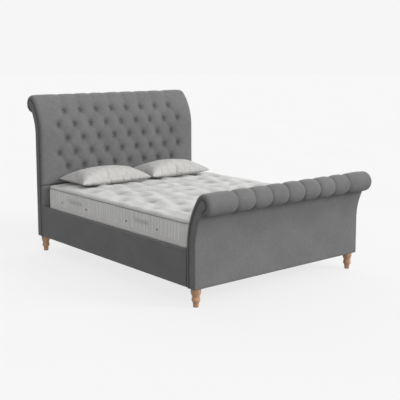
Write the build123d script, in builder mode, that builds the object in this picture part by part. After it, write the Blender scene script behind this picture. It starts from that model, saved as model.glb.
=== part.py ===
"""King-size upholstered sleigh bed: scrolled boards, side rails, sprung slats, mattress and pillows.

Frame: +Z up, head end towards +Y, origin on the floor under the middle of the bed. Millimetres.
A board is drawn in its own section plane: u runs outwards from the face that meets the mattress, v runs up.
"""

import os
from dataclasses import dataclass
from math import asin, cos, degrees, sin

from build123d import *

os.makedirs("parts", exist_ok=True)

# ---- Driving dimensions --------------------------------------------------------------------------------
MATTRESS_WIDTH = 1600.0
MATTRESS_LENGTH = 2000.0
END_CLEARANCE = 8.6  # from the mattress to each board
SIDE_CLEARANCE = 5.0  # from the mattress to each side rail
FOOT_HEIGHT = 135.0  # floor to the underside of the frame
MATTRESS_BASE = 350.0

BOARD_DEPTH = 105.0  # thickness of a board below its bend
PAD_DEPTH = 36.0  # foam and cover on the mattress side and round the roll
SKIN_DEPTH = 6.0  # plywood behind the pad
PANEL_DEPTH = 6.0  # wadding and cloth on the outside
FACING_DEPTH = 12.0  # padded facing on each end of a board
PIPING_WIDTH = 4.0
ROLL_OVERHANG = 256.4  # from a board's face to the furthest point of its roll
ROLL_WALL = 9.0  # wall of the tube inside a roll
SKIN_STOP = 2.0  # degrees by which the plywood stops short of the roll

POST_WIDTH = 120.0
SILL_HEIGHT = 18.0
RIB_WIDTH = 18.0
RIB_SPACING = 370.0
RIB_COUNT = 3
CROSS_RAIL_DEPTH = 30.0
CROSS_RAIL_HEIGHT = 70.0

BUTTON_SPACING = 164.7
BUTTON_RISE = 126.0
BUTTON_TOP_ROW = 1238.0
BUTTON_ROWS = (8, 9, 8, 9, 8)
BUTTON_RADIUS = 12.5
BUTTON_HEIGHT = 8.0
BUTTON_SINK = 16.0  # depth of the hollow that holds a button
BUTTON_CLEARANCE = 1.5
LOWER_PAD_TOP = 592.0
FLUTE_COUNT = 8
FLUTE_WIDTH = 8.0
FLUTE_DEPTH = 9.0

RAIL_TOP = 403.0
RAIL_BOARD = 22.0
RAIL_FOAM = 8.0
RAIL_FOAM_TOP = 11.0
RAIL_CLOTH = 3.0
RAIL_SETBACK = 2.0  # rail's outer face inside the end of a board
LEDGE_WIDTH = 30.0
LEDGE_HEIGHT = 40.0

SLAT_COUNT = 14
SLAT_WIDTH = 53.0
SLAT_DEPTH = 8.0
SLAT_BOW = 10.0
SLAT_TO_MATTRESS = 0.5
SLAT_END_MARGIN = 90.0  # from a board to the middle of the nearest slat
HOLDER_WALL = 3.0
HOLDER_GRIP = 26.0
HOLDER_HEADROOM = 2.6  # room in a holder for the curve of its slat
CENTRE_RAIL_WIDTH = 60.0
CENTRE_RAIL_HEIGHT = 70.0
SHOE_WALL = 4.0
SHOE_REACH = 45.0

LEG_WIDTH = 45.0
LEG_SPACING = 680.0
GLIDE_RADIUS = 19.0
GLIDE_HEIGHT = 9.0
GLIDE_TRAVEL = 10.0  # each way from its set height
GLIDE_STUD_RADIUS = 4.0
GLIDE_STUD_GRIP = 40.0
GLIDE_CLEARANCE = 0.3

BRACKET_LEG = 50.0
BRACKET_WALL = 4.0
BRACKET_BASE = 160.0
BRACKET_HEIGHT = 120.0
FIXING_INSET = 30.0  # bracket's corner to its bolts and screws
BOLT_RADIUS = 4.0
BOLT_HEAD_RADIUS = 7.0
BOLT_HEAD_HEIGHT = 5.0
BOLT_REACH = 40.0  # into the post
SCREW_RADIUS = 2.5
SCREW_HEAD_RADIUS = 5.0
SCREW_HEAD_HEIGHT = 2.5

FOOT_TOP_RADIUS = 37.0
FOOT_TOP_EDGE = 35.0  # radius where a foot meets its plate
FOOT_TURNING = (  # share of a foot's height below its top, and radius there
    (0.14, FOOT_TOP_RADIUS),
    (0.29, 34.0),
    (0.46, 27.0),
    (0.64, 31.0),
    (0.78, 23.0),
)
FOOT_TOE_HEIGHT = 25.0
FOOT_TOE_TOP_RADIUS = 21.5
FOOT_TOE_RADIUS = 19.5
FOOT_PLATE = 3.0
FOOT_FELT = 4.0
STUD_RADIUS = 5.0
STUD_INTO_FOOT = 35.0
STUD_INTO_POST = 40.0
INSERT_WALL = 3.0
INSERT_EDGE = 2.5  # timber between an insert and the plywood

MATTRESS_CORNER = 60.0
MATTRESS_TAPE = 4.0  # how far the piped edges stand out
TAPE_HEIGHT = 10.0
TOP_TAPE = 562.0
BORDER_DEPTH = 12.0
FILLING_DEPTH = 30.0
CROWN_HEIGHT = 32.0
CROWN_FILLET = 26.0
TUFT_RADIUS = 11.0
TUFT_HEIGHT = 3.0
TUFT_SINK = 8.0
TUFT_COLUMNS = 7
TUFT_ROWS = 9
VENT_RADIUS = 9.0
VENT_HOLE = 5.0
VENT_PROUD = 2.0
VENT_LEVEL = 472.0
VENT_PLACES = (742.0, 354.0, -228.0, -623.0)
HANDLE_PLACES = (524.0, -432.0)
HANDLE_LEVEL = 507.0
HANDLE_LENGTH = 190.0
HANDLE_WIDTH = 28.0
HANDLE_STRAP = 3.0
HANDLE_END = 24.0
HANDLE_GAP = 4.0

PILLOW_WIDTH = 700.0
PILLOW_LENGTH = 425.0
PILLOW_HEIGHT = 140.0
PILLOW_CORNER = 60.0
PILLOW_TAPER = 140.0  # how much smaller its top and underside are than its seam
PILLOW_GAP = 0.5
PILLOW_BETWEEN = 22.0
PILLOW_TO_HEAD = 20.0
PILLOW_SHIFT = 25.0  # middle of the pair, off the middle of the bed

# ---- Sizes that follow ---------------------------------------------------------------------------------
FACE_Y = MATTRESS_LENGTH / 2 + END_CLEARANCE
RAIL_IN = MATTRESS_WIDTH / 2 + SIDE_CLEARANCE
RAIL_OUT = RAIL_IN + RAIL_BOARD + RAIL_FOAM + RAIL_CLOTH
BOARD_HALF = RAIL_OUT + RAIL_SETBACK
CORE_HALF = BOARD_HALF - FACING_DEPTH
CORE_IN = PAD_DEPTH + SKIN_DEPTH
CORE_OUT = BOARD_DEPTH - PANEL_DEPTH
POST_IN = CORE_HALF - POST_WIDTH
SLAT_TOP = MATTRESS_BASE - SLAT_TO_MATTRESS
SLAT_BASE = SLAT_TOP - SLAT_BOW - SLAT_DEPTH
HOLDER_BASE = SLAT_BASE - HOLDER_WALL
HOLDER_HEIGHT = 2 * HOLDER_WALL + SLAT_DEPTH + HOLDER_HEADROOM
SLAT_NEAR = HOLDER_WALL / 2
SLAT_FAR = RAIL_IN - HOLDER_WALL
SLAT_PITCH = 2 * (FACE_Y - SLAT_END_MARGIN) / (SLAT_COUNT - 1)
CENTRE_RAIL_BASE = HOLDER_BASE - CENTRE_RAIL_HEIGHT
BOLT_X = RAIL_IN - FIXING_INSET
BOLT_LEVELS = (BRACKET_BASE + FIXING_INSET, BRACKET_BASE + BRACKET_HEIGHT - FIXING_INSET)
FOOT_X = BOARD_HALF - FOOT_TOP_RADIUS - FACING_DEPTH
FOOT_Y = FACE_Y + CORE_IN + INSERT_EDGE + INSERT_WALL + STUD_RADIUS
FOOT_TOP = FOOT_HEIGHT - FOOT_PLATE
LEG_BASE = GLIDE_HEIGHT + GLIDE_TRAVEL + GLIDE_CLEARANCE
BORDER_X = MATTRESS_WIDTH / 2 - MATTRESS_TAPE
BORDER_Y = MATTRESS_LENGTH / 2 - MATTRESS_TAPE
CROWN_BASE = TOP_TAPE + TAPE_HEIGHT
CROWN_TOP = CROWN_BASE + CROWN_HEIGHT
STANDING = (Align.CENTER, Align.CENTER, Align.MIN)
HANGING = (Align.CENTER, Align.CENTER, Align.MAX)
CORNERED = (Align.MIN, Align.MIN)
SIDES = (-1, 1)
CORNERS = [(x, y) for x in SIDES for y in SIDES]


@dataclass(frozen=True)
class Board:
    """A sleigh board's section: a straight rise, one bend outwards, and a roll that the bend runs into."""

    name: str
    end: int  # +1 at the head, -1 at the foot
    height: float
    bend_start: float
    roll_radius: float
    cross_rails: tuple  # underside of each cross rail

    @property
    def roll_centre(self):
        return (ROLL_OVERHANG - self.roll_radius, self.height - self.roll_radius)

    @property
    def bend_radius(self):
        """Radius of the face's bend: it leaves the rise straight and meets the roll smoothly."""
        reach, top = self.roll_centre
        rise = top - self.bend_start
        return (reach**2 + rise**2 - self.roll_radius**2) / (2 * (reach - self.roll_radius))

    @property
    def bend_angle(self):
        """Degrees that the bend turns before it meets the roll."""
        rise = self.roll_centre[1] - self.bend_start
        return degrees(asin(rise / (self.bend_radius - self.roll_radius)))

    def section(self, x):
        """Plane across the board at x. An extrusion from it runs towards +X at the head, -X at the foot."""
        return Plane(origin=(x, self.end * FACE_Y, 0), x_dir=(0, self.end, 0), z_dir=(self.end, 0, 0))

    def side_section(self, side, inset):
        """Section plane for a piece at one side, inset from the board's end."""
        outer_first = side * self.end < 0
        return self.section(side * (BOARD_HALF if outer_first else BOARD_HALF - inset))

    def button_spot(self, x, level, sink):
        """Plane on the face at a height, facing off the pad, sunk into it along its normal."""
        turned = asin(max(0.0, level - self.bend_start) / self.bend_radius)
        u = self.bend_radius * (1 - cos(turned)) + sink * cos(turned)
        normal = (0, -self.end * cos(turned), sin(turned))
        return Plane(origin=(x, self.end * (FACE_Y + u), level - sink * sin(turned)), z_dir=normal)


HEAD = Board("headboard", 1, 1369.0, 1028.0, 75.0, (258.0, 557.0, 900.0))
FOOT = Board("footboard", -1, 809.0, 420.0, 76.0, (258.0,))


def straight_band(near, far, bottom, top):
    """Sketch rectangle between two depths of a board, below its bend."""
    with Locations(((near + far) / 2, (bottom + top) / 2)):
        Rectangle(far - near, top - bottom)


def bent_band(board, near, far, bottom=FOOT_HEIGHT, stop=0.0, mode=Mode.ADD):
    """Sketch face between two depths of a board, up the straight rise and round the bend."""
    turn = stop - board.bend_angle
    with BuildLine() as outline:
        inner = CenterArc((board.bend_radius, board.bend_start), board.bend_radius - near, 180, turn)
        outer = CenterArc((board.bend_radius, board.bend_start), board.bend_radius - far, 180, turn)
        Line(inner @ 1, outer @ 1)
        Polyline(inner @ 0, (near, bottom), (far, bottom), outer @ 0)
    make_face(outline.edges(), mode=mode)


def roll_disc(board, inset, mode=Mode.ADD):
    """Sketch disc of a board's roll, inset from its surface."""
    with Locations(board.roll_centre):
        Circle(board.roll_radius - inset, mode=mode)


def wrap(board, near, far, bottom=FOOT_HEIGHT):
    """Sketch layer between two depths: up the face, round the bend and round the roll to the outer panel."""
    bent_band(board, near, far, bottom)
    roll_disc(board, near)
    roll_disc(board, far, mode=Mode.SUBTRACT)
    bent_band(board, far, CORE_OUT, bottom, mode=Mode.SUBTRACT)


def bolt_holes(board):
    """Bores the rail bolts' holes through the part being built."""
    starts = [(x * BOLT_X, board.end * FACE_Y, level) for x in SIDES for level in BOLT_LEVELS]
    with Locations(*[Plane(origin=start, z_dir=(0, board.end, 0)) for start in starts]):
        Cylinder(BOLT_RADIUS, CORE_IN + BOLT_REACH, align=STANDING, mode=Mode.SUBTRACT)


def build_board(board):
    """Frame, roll tube, plywood, outer panel, end facings and piping of one board."""
    with BuildPart() as posts:
        for side in SIDES:
            first = CORE_HALF if side * board.end < 0 else POST_IN
            with BuildSketch(board.section(side * first)):
                bent_band(board, CORE_IN, CORE_OUT)
                roll_disc(board, PAD_DEPTH, mode=Mode.SUBTRACT)
            extrude(amount=POST_WIDTH)
        bolt_holes(board)
        with Locations(*[(x * FOOT_X, board.end * FOOT_Y, FOOT_HEIGHT) for x in SIDES]):
            Cylinder(STUD_RADIUS + INSERT_WALL, STUD_INTO_POST, align=STANDING, mode=Mode.SUBTRACT)
    posts.part.label = f"{board.name}_posts"
    export_step(posts.part, f"parts/{board.name}_posts.step")

    with BuildPart() as cross_rails:
        with BuildSketch(board.section(-board.end * POST_IN)):
            straight_band(CORE_IN, CORE_OUT, FOOT_HEIGHT, FOOT_HEIGHT + SILL_HEIGHT)
            for base in board.cross_rails:
                straight_band(CORE_IN, CORE_IN + CROSS_RAIL_DEPTH, base, base + CROSS_RAIL_HEIGHT)
        extrude(amount=2 * POST_IN)
    cross_rails.part.label = f"{board.name}_cross_rails"
    export_step(cross_rails.part, f"parts/{board.name}_cross_rails.step")

    with BuildPart() as ribs:
        for step in range(RIB_COUNT):
            middle = (step - (RIB_COUNT - 1) / 2) * RIB_SPACING
            with BuildSketch(board.section(middle - board.end * RIB_WIDTH / 2)):
                bent_band(board, CORE_IN, CORE_OUT, FOOT_HEIGHT + SILL_HEIGHT)
                roll_disc(board, PAD_DEPTH, mode=Mode.SUBTRACT)
                with Locations(*[(CORE_IN, base) for base in board.cross_rails]):
                    Rectangle(CROSS_RAIL_DEPTH, CROSS_RAIL_HEIGHT, align=CORNERED, mode=Mode.SUBTRACT)
            extrude(amount=RIB_WIDTH)
    ribs.part.label = f"{board.name}_ribs"
    export_step(ribs.part, f"parts/{board.name}_ribs.step")

    with BuildPart() as roll_tube:
        with BuildSketch(board.section(-board.end * CORE_HALF)):
            roll_disc(board, PAD_DEPTH)
            roll_disc(board, PAD_DEPTH + ROLL_WALL, mode=Mode.SUBTRACT)
        extrude(amount=2 * CORE_HALF)
    roll_tube.part.label = f"{board.name}_roll_tube"
    export_step(roll_tube.part, f"parts/{board.name}_roll_tube.step")

    with BuildPart() as plywood:
        with BuildSketch(board.section(-board.end * CORE_HALF)):
            bent_band(board, PAD_DEPTH, CORE_IN, stop=SKIN_STOP)
            roll_disc(board, PAD_DEPTH, mode=Mode.SUBTRACT)
        extrude(amount=2 * CORE_HALF)
        bolt_holes(board)
    plywood.part.label = f"{board.name}_plywood"
    export_step(plywood.part, f"parts/{board.name}_plywood.step")

    with BuildPart() as outer_panel:
        with BuildSketch(board.section(-board.end * BOARD_HALF)):
            bent_band(board, CORE_OUT, BOARD_DEPTH)
            roll_disc(board, 0, mode=Mode.SUBTRACT)
        extrude(amount=2 * BOARD_HALF)
    outer_panel.part.label = f"{board.name}_outer_panel"
    export_step(outer_panel.part, f"parts/{board.name}_outer_panel.step")

    with BuildPart() as facings:
        for side in SIDES:
            with BuildSketch(board.side_section(side, FACING_DEPTH)):
                bent_band(board, PAD_DEPTH + PIPING_WIDTH, CORE_OUT)
                roll_disc(board, PAD_DEPTH + PIPING_WIDTH)
            extrude(amount=FACING_DEPTH)
    facings.part.label = f"{board.name}_facings"
    export_step(facings.part, f"parts/{board.name}_facings.step")

    with BuildPart() as piping:
        for side in SIDES:
            with BuildSketch(board.side_section(side, FACING_DEPTH)):
                wrap(board, PAD_DEPTH, PAD_DEPTH + PIPING_WIDTH)
            extrude(amount=FACING_DEPTH)
    piping.part.label = f"{board.name}_piping"
    export_step(piping.part, f"parts/{board.name}_piping.step")


build_board(HEAD)
build_board(FOOT)

# ---- Pads of the head board ----------------------------------------------------------------------------
button_points = []
for row, count in enumerate(BUTTON_ROWS):
    for column in range(count):
        across = (column - (count - 1) / 2) * BUTTON_SPACING
        button_points.append((across, BUTTON_TOP_ROW - row * BUTTON_RISE))

with BuildPart() as buttoned_pad:
    with BuildSketch(HEAD.section(-BOARD_HALF)):
        wrap(HEAD, 0, PAD_DEPTH, LOWER_PAD_TOP)
    extrude(amount=2 * BOARD_HALF)
    with Locations(*[HEAD.button_spot(x, level, BUTTON_SINK) for x, level in button_points]):
        Cylinder(BUTTON_RADIUS + BUTTON_CLEARANCE, 2 * BUTTON_SINK, align=STANDING, mode=Mode.SUBTRACT)
buttoned_pad.part.label = "headboard_buttoned_pad"
export_step(buttoned_pad.part, "parts/headboard_buttoned_pad.step")

with BuildPart() as buttons:
    with Locations(*[HEAD.button_spot(x, level, BUTTON_SINK) for x, level in button_points]):
        Cylinder(BUTTON_RADIUS, BUTTON_HEIGHT, align=STANDING)
buttons.part.label = "headboard_buttons"
export_step(buttons.part, "parts/headboard_buttons.step")

with BuildPart() as lower_pad:
    with BuildSketch(HEAD.section(-BOARD_HALF)):
        straight_band(0, PAD_DEPTH, FOOT_HEIGHT, LOWER_PAD_TOP)
    extrude(amount=2 * BOARD_HALF)
    bolt_holes(HEAD)
lower_pad.part.label = "headboard_lower_pad"
export_step(lower_pad.part, "parts/headboard_lower_pad.step")

# ---- Pad of the foot board, with flutes over its roll --------------------------------------------------
with BuildPart() as fluted_pad:
    with BuildSketch(FOOT.section(BOARD_HALF)):
        wrap(FOOT, 0, PAD_DEPTH)
    extrude(amount=2 * BOARD_HALF)
    for step in range(FLUTE_COUNT):
        middle = (step - (FLUTE_COUNT - 1) / 2) * BUTTON_SPACING
        with BuildSketch(FOOT.section(middle + FLUTE_WIDTH / 2)):
            wrap(FOOT, 0, FLUTE_DEPTH, FOOT.bend_start)
        extrude(amount=FLUTE_WIDTH, mode=Mode.SUBTRACT)
    bolt_holes(FOOT)
fluted_pad.part.label = "footboard_fluted_pad"
export_step(fluted_pad.part, "parts/footboard_fluted_pad.step")

# ---- Side rails ----------------------------------------------------------------------------------------
for hand, side in (("left", -1), ("right", 1)):
    board_base = FOOT_HEIGHT + RAIL_CLOTH
    board_top = RAIL_TOP - RAIL_CLOTH - RAIL_FOAM_TOP
    foam_out = RAIL_OUT - RAIL_CLOTH

    with BuildPart() as rail_board:
        with Locations((side * (RAIL_IN + RAIL_BOARD / 2), 0, board_base)):
            Box(RAIL_BOARD, 2 * FACE_Y, board_top - board_base, align=STANDING)
    rail_board.part.label = f"rail_board_{hand}"
    export_step(rail_board.part, f"parts/rail_board_{hand}.step")

    with BuildPart() as rail_foam:
        with Locations((side * (RAIL_IN + foam_out) / 2, 0, board_base)):
            Box(foam_out - RAIL_IN, 2 * FACE_Y, board_top + RAIL_FOAM_TOP - board_base, align=STANDING)
        add(rail_board.part, mode=Mode.SUBTRACT)
    rail_foam.part.label = f"rail_foam_{hand}"
    export_step(rail_foam.part, f"parts/rail_foam_{hand}.step")

    with BuildPart() as rail_cover:
        with Locations((side * (RAIL_IN + RAIL_OUT) / 2, 0, FOOT_HEIGHT)):
            Box(RAIL_OUT - RAIL_IN, 2 * FACE_Y, RAIL_TOP - FOOT_HEIGHT, align=STANDING)
        with Locations((side * (RAIL_IN + foam_out) / 2, 0, board_base)):
            Box(
                foam_out - RAIL_IN,
                2 * FACE_Y,
                board_top + RAIL_FOAM_TOP - board_base,
                align=STANDING,
                mode=Mode.SUBTRACT,
            )
    rail_cover.part.label = f"rail_cover_{hand}"
    export_step(rail_cover.part, f"parts/rail_cover_{hand}.step")

    with BuildPart() as ledge:
        with Locations((side * (RAIL_IN - LEDGE_WIDTH / 2), 0, HOLDER_BASE)):
            Box(LEDGE_WIDTH, 2 * FACE_Y, LEDGE_HEIGHT, align=HANGING)
    ledge.part.label = f"slat_ledge_{hand}"
    export_step(ledge.part, f"parts/slat_ledge_{hand}.step")

# ---- Corner brackets, rail bolts and screws ------------------------------------------------------------
with BuildPart() as corner_brackets:
    for x, y in CORNERS:
        with BuildSketch(Plane.XY.offset(BRACKET_BASE)):
            with Locations((x * (RAIL_IN - BRACKET_LEG / 2), y * (FACE_Y - BRACKET_WALL / 2))):
                Rectangle(BRACKET_LEG, BRACKET_WALL)
            with Locations((x * (RAIL_IN - BRACKET_WALL / 2), y * (FACE_Y - BRACKET_LEG / 2))):
                Rectangle(BRACKET_WALL, BRACKET_LEG)
        extrude(amount=BRACKET_HEIGHT)
        for level in BOLT_LEVELS:
            with Locations(Plane(origin=(x * BOLT_X, y * (FACE_Y - BRACKET_WALL), level), z_dir=(0, y, 0))):
                Cylinder(BOLT_RADIUS, BRACKET_WALL, align=STANDING, mode=Mode.SUBTRACT)
            screw_start = (x * (RAIL_IN - BRACKET_WALL), y * (FACE_Y - FIXING_INSET), level)
            with Locations(Plane(origin=screw_start, z_dir=(x, 0, 0))):
                Cylinder(SCREW_RADIUS, BRACKET_WALL, align=STANDING, mode=Mode.SUBTRACT)
corner_brackets.part.label = "corner_brackets"
export_step(corner_brackets.part, "parts/corner_brackets.step")

with BuildPart() as rail_bolts:
    for x, y in CORNERS:
        for level in BOLT_LEVELS:
            with Locations(Plane(origin=(x * BOLT_X, y * (FACE_Y - BRACKET_WALL), level), z_dir=(0, y, 0))):
                Cylinder(BOLT_RADIUS, BRACKET_WALL + CORE_IN + BOLT_REACH, align=STANDING)
                Cylinder(BOLT_HEAD_RADIUS, BOLT_HEAD_HEIGHT, align=HANGING)
rail_bolts.part.label = "rail_bolts"
export_step(rail_bolts.part, "parts/rail_bolts.step")

with BuildPart() as bracket_screws:
    for x, y in CORNERS:
        for level in BOLT_LEVELS:
            start = (x * (RAIL_IN - BRACKET_WALL), y * (FACE_Y - FIXING_INSET), level)
            with Locations(Plane(origin=start, z_dir=(x, 0, 0))):
                Cylinder(SCREW_RADIUS, BRACKET_WALL, align=STANDING)
                Cylinder(SCREW_HEAD_RADIUS, SCREW_HEAD_HEIGHT, align=HANGING)
bracket_screws.part.label = "bracket_screws"
export_step(bracket_screws.part, "parts/bracket_screws.step")

# ---- Centre rail, its shoes, legs and levelling glides -------------------------------------------------
with BuildPart() as centre_rail:
    with Locations((0, 0, HOLDER_BASE)):
        Box(CENTRE_RAIL_WIDTH, 2 * (FACE_Y - SHOE_WALL), CENTRE_RAIL_HEIGHT, align=HANGING)
centre_rail.part.label = "centre_rail"
export_step(centre_rail.part, "parts/centre_rail.step")

with BuildPart() as centre_shoes:
    for end in SIDES:
        with Locations((0, end * (FACE_Y - SHOE_REACH / 2), CENTRE_RAIL_BASE - SHOE_WALL)):
            Box(
                CENTRE_RAIL_WIDTH + 2 * SHOE_WALL,
                SHOE_REACH,
                CENTRE_RAIL_HEIGHT / 2 + SHOE_WALL,
                align=STANDING,
            )
    with Locations((0, 0, CENTRE_RAIL_BASE)):
        Box(
            CENTRE_RAIL_WIDTH,
            2 * (FACE_Y - SHOE_WALL),
            CENTRE_RAIL_HEIGHT,
            align=STANDING,
            mode=Mode.SUBTRACT,
        )
centre_shoes.part.label = "centre_rail_shoes"
export_step(centre_shoes.part, "parts/centre_rail_shoes.step")

leg_places = [(0, -LEG_SPACING / 2), (0, LEG_SPACING / 2)]
with BuildPart() as centre_legs:
    with Locations(*[(x, y, CENTRE_RAIL_BASE) for x, y in leg_places]):
        Box(LEG_WIDTH, LEG_WIDTH, CENTRE_RAIL_BASE - LEG_BASE, align=HANGING)
    with Locations(*[(x, y, LEG_BASE) for x, y in leg_places]):
        Cylinder(
            GLIDE_STUD_RADIUS + GLIDE_CLEARANCE,
            GLIDE_STUD_GRIP + GLIDE_TRAVEL + GLIDE_CLEARANCE,
            align=STANDING,
            mode=Mode.SUBTRACT,
        )
centre_legs.part.label = "centre_legs"
export_step(centre_legs.part, "parts/centre_legs.step")

for name, y in (("front", -LEG_SPACING / 2), ("rear", LEG_SPACING / 2)):
    with BuildPart() as glide:
        with Locations((0, y, 0)):
            Cylinder(GLIDE_RADIUS, GLIDE_HEIGHT, align=STANDING)
            Cylinder(GLIDE_STUD_RADIUS, LEG_BASE + GLIDE_STUD_GRIP, align=STANDING)
    glide.part.label = f"levelling_glide_{name}"
    export_step(glide.part, f"parts/levelling_glide_{name}.step")

# ---- Sprung slats and their holders --------------------------------------------------------------------
slat_places = [(step - (SLAT_COUNT - 1) / 2) * SLAT_PITCH for step in range(SLAT_COUNT)]


def holder_blocks(inner, outer):
    """Adds one holder block at each slat, between two distances from the middle of the bed."""
    with Locations(*[((inner + outer) / 2, y, HOLDER_BASE) for y in slat_places]):
        Box(abs(outer - inner), SLAT_WIDTH + 2 * HOLDER_WALL, HOLDER_HEIGHT, align=STANDING)


def holder_pockets(inner, outer):
    """Cuts the pocket that takes a slat's end in each holder block."""
    with Locations(*[((inner + outer) / 2, y, SLAT_BASE) for y in slat_places]):
        Box(abs(outer - inner), SLAT_WIDTH, SLAT_DEPTH + HOLDER_HEADROOM, align=STANDING, mode=Mode.SUBTRACT)


with BuildPart() as outer_holders:
    for side in SIDES:
        holder_blocks(side * (RAIL_IN - HOLDER_WALL - HOLDER_GRIP), side * RAIL_IN)
        holder_pockets(side * (RAIL_IN - HOLDER_WALL - HOLDER_GRIP), side * SLAT_FAR)
outer_holders.part.label = "slat_holders_outer"
export_step(outer_holders.part, "parts/slat_holders_outer.step")

with BuildPart() as centre_holders:
    holder_blocks(-SLAT_NEAR - HOLDER_GRIP, SLAT_NEAR + HOLDER_GRIP)
    for side in SIDES:
        holder_pockets(side * SLAT_NEAR, side * (SLAT_NEAR + HOLDER_GRIP))
centre_holders.part.label = "slat_holders_centre"
export_step(centre_holders.part, "parts/slat_holders_centre.step")

for hand, side in (("left", -1), ("right", 1)):
    middle = side * (SLAT_NEAR + SLAT_FAR) / 2
    half = (SLAT_FAR - SLAT_NEAR) / 2
    with BuildPart() as slats:
        for y in slat_places:
            with BuildSketch(Plane.XZ.offset(-y - SLAT_WIDTH / 2)):
                with BuildLine():
                    under = ThreePointArc(
                        (middle - half, SLAT_BASE),
                        (middle, SLAT_BASE + SLAT_BOW),
                        (middle + half, SLAT_BASE),
                    )
                    upper = ThreePointArc(
                        (middle - half, SLAT_BASE + SLAT_DEPTH),
                        (middle, SLAT_TOP),
                        (middle + half, SLAT_BASE + SLAT_DEPTH),
                    )
                    Line(under @ 0, upper @ 0)
                    Line(under @ 1, upper @ 1)
                make_face()
            extrude(amount=SLAT_WIDTH)
    slats.part.label = f"sprung_slats_{hand}"
    export_step(slats.part, f"parts/sprung_slats_{hand}.step")

# ---- Turned feet and what fixes them -------------------------------------------------------------------
for end_name, end in (("foot_end", -1), ("head_end", 1)):
    for hand, side in (("left", -1), ("right", 1)):
        drop = FOOT_TOP - FOOT_FELT
        with BuildPart() as leg:
            with BuildSketch(Plane.XZ):
                with BuildLine():
                    turned = Spline(
                        (FOOT_TOP_EDGE, FOOT_TOP),
                        *[(radius, FOOT_TOP - share * drop) for share, radius in FOOT_TURNING],
                        (FOOT_TOE_TOP_RADIUS, FOOT_FELT + FOOT_TOE_HEIGHT),
                    )
                    toe = (FOOT_TOE_RADIUS, FOOT_FELT)
                    Polyline(turned @ 1, toe, (0, FOOT_FELT), (0, FOOT_TOP), turned @ 0)
                make_face()
            revolve(axis=Axis.Z)
            with Locations((0, 0, FOOT_TOP)):
                Cylinder(STUD_RADIUS, STUD_INTO_FOOT, align=HANGING, mode=Mode.SUBTRACT)
        leg_placed = Pos(side * FOOT_X, end * FOOT_Y, 0) * leg.part
        leg_placed.label = f"leg_{end_name}_{hand}"
        export_step(leg_placed, f"parts/leg_{end_name}_{hand}.step")

foot_spots = [(x * FOOT_X, y * FOOT_Y) for x, y in CORNERS]

with BuildPart() as foot_plates:
    with Locations(*[(x, y, FOOT_TOP) for x, y in foot_spots]):
        Cylinder(FOOT_TOP_RADIUS - FOOT_PLATE, FOOT_PLATE, align=STANDING)
        Cylinder(STUD_RADIUS, FOOT_PLATE, align=STANDING, mode=Mode.SUBTRACT)
foot_plates.part.label = "foot_plates"
export_step(foot_plates.part, "parts/foot_plates.step")

with BuildPart() as foot_studs:
    with Locations(*[(x, y, FOOT_TOP - STUD_INTO_FOOT) for x, y in foot_spots]):
        Cylinder(STUD_RADIUS, STUD_INTO_FOOT + FOOT_PLATE + STUD_INTO_POST, align=STANDING)
foot_studs.part.label = "foot_studs"
export_step(foot_studs.part, "parts/foot_studs.step")

with BuildPart() as foot_inserts:
    with Locations(*[(x, y, FOOT_HEIGHT) for x, y in foot_spots]):
        Cylinder(STUD_RADIUS + INSERT_WALL, STUD_INTO_POST, align=STANDING)
        Cylinder(STUD_RADIUS, STUD_INTO_POST, align=STANDING, mode=Mode.SUBTRACT)
foot_inserts.part.label = "foot_inserts"
export_step(foot_inserts.part, "parts/foot_inserts.step")

with BuildPart() as foot_felts:
    with Locations(*[(x, y, 0) for x, y in foot_spots]):
        Cylinder(FOOT_TOE_RADIUS, FOOT_FELT, align=STANDING)
foot_felts.part.label = "foot_felts"
export_step(foot_felts.part, "parts/foot_felts.step")


# ---- Mattress ------------------------------------------------------------------------------------------
def mattress_outline(inset, mode=Mode.ADD):
    """Sketch outline of the mattress, inset from its border cloth."""
    RectangleRounded(2 * (BORDER_X - inset), 2 * (BORDER_Y - inset), MATTRESS_CORNER - inset, mode=mode)


def mattress_layer(base, top, inset=0.0, wall=None):
    """Layer of the mattress between two heights, solid or, given a wall, a ring."""
    with BuildSketch(Plane.XY.offset(base)) as outline:
        mattress_outline(inset)
        if wall is not None:
            mattress_outline(inset + wall, mode=Mode.SUBTRACT)
    extrude(outline.sketch, amount=top - base)


with BuildPart() as base_panel:
    mattress_layer(MATTRESS_BASE, MATTRESS_BASE + TAPE_HEIGHT)
base_panel.part.label = "mattress_base_panel"
export_step(base_panel.part, "parts/mattress_base_panel.step")

with BuildPart() as border:
    mattress_layer(MATTRESS_BASE + TAPE_HEIGHT, CROWN_BASE, wall=BORDER_DEPTH)
border.part.label = "mattress_border"
export_step(border.part, "parts/mattress_border.step")

filling_levels = {
    "lower_filling": (MATTRESS_BASE + TAPE_HEIGHT, MATTRESS_BASE + TAPE_HEIGHT + FILLING_DEPTH),
    "spring_unit": (MATTRESS_BASE + TAPE_HEIGHT + FILLING_DEPTH, CROWN_BASE - FILLING_DEPTH),
    "upper_filling": (CROWN_BASE - FILLING_DEPTH, CROWN_BASE),
}
for name, (base, top) in filling_levels.items():
    with BuildPart() as filling:
        mattress_layer(base, top, inset=BORDER_DEPTH)
    filling.part.label = f"mattress_{name}"
    export_step(filling.part, f"parts/mattress_{name}.step")

with BuildPart() as tapes:
    mattress_layer(MATTRESS_BASE, MATTRESS_BASE + TAPE_HEIGHT, inset=-MATTRESS_TAPE, wall=MATTRESS_TAPE)
    mattress_layer(TOP_TAPE, CROWN_BASE, inset=-MATTRESS_TAPE, wall=MATTRESS_TAPE)
tapes.part.label = "mattress_piping"
export_step(tapes.part, "parts/mattress_piping.step")

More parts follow.
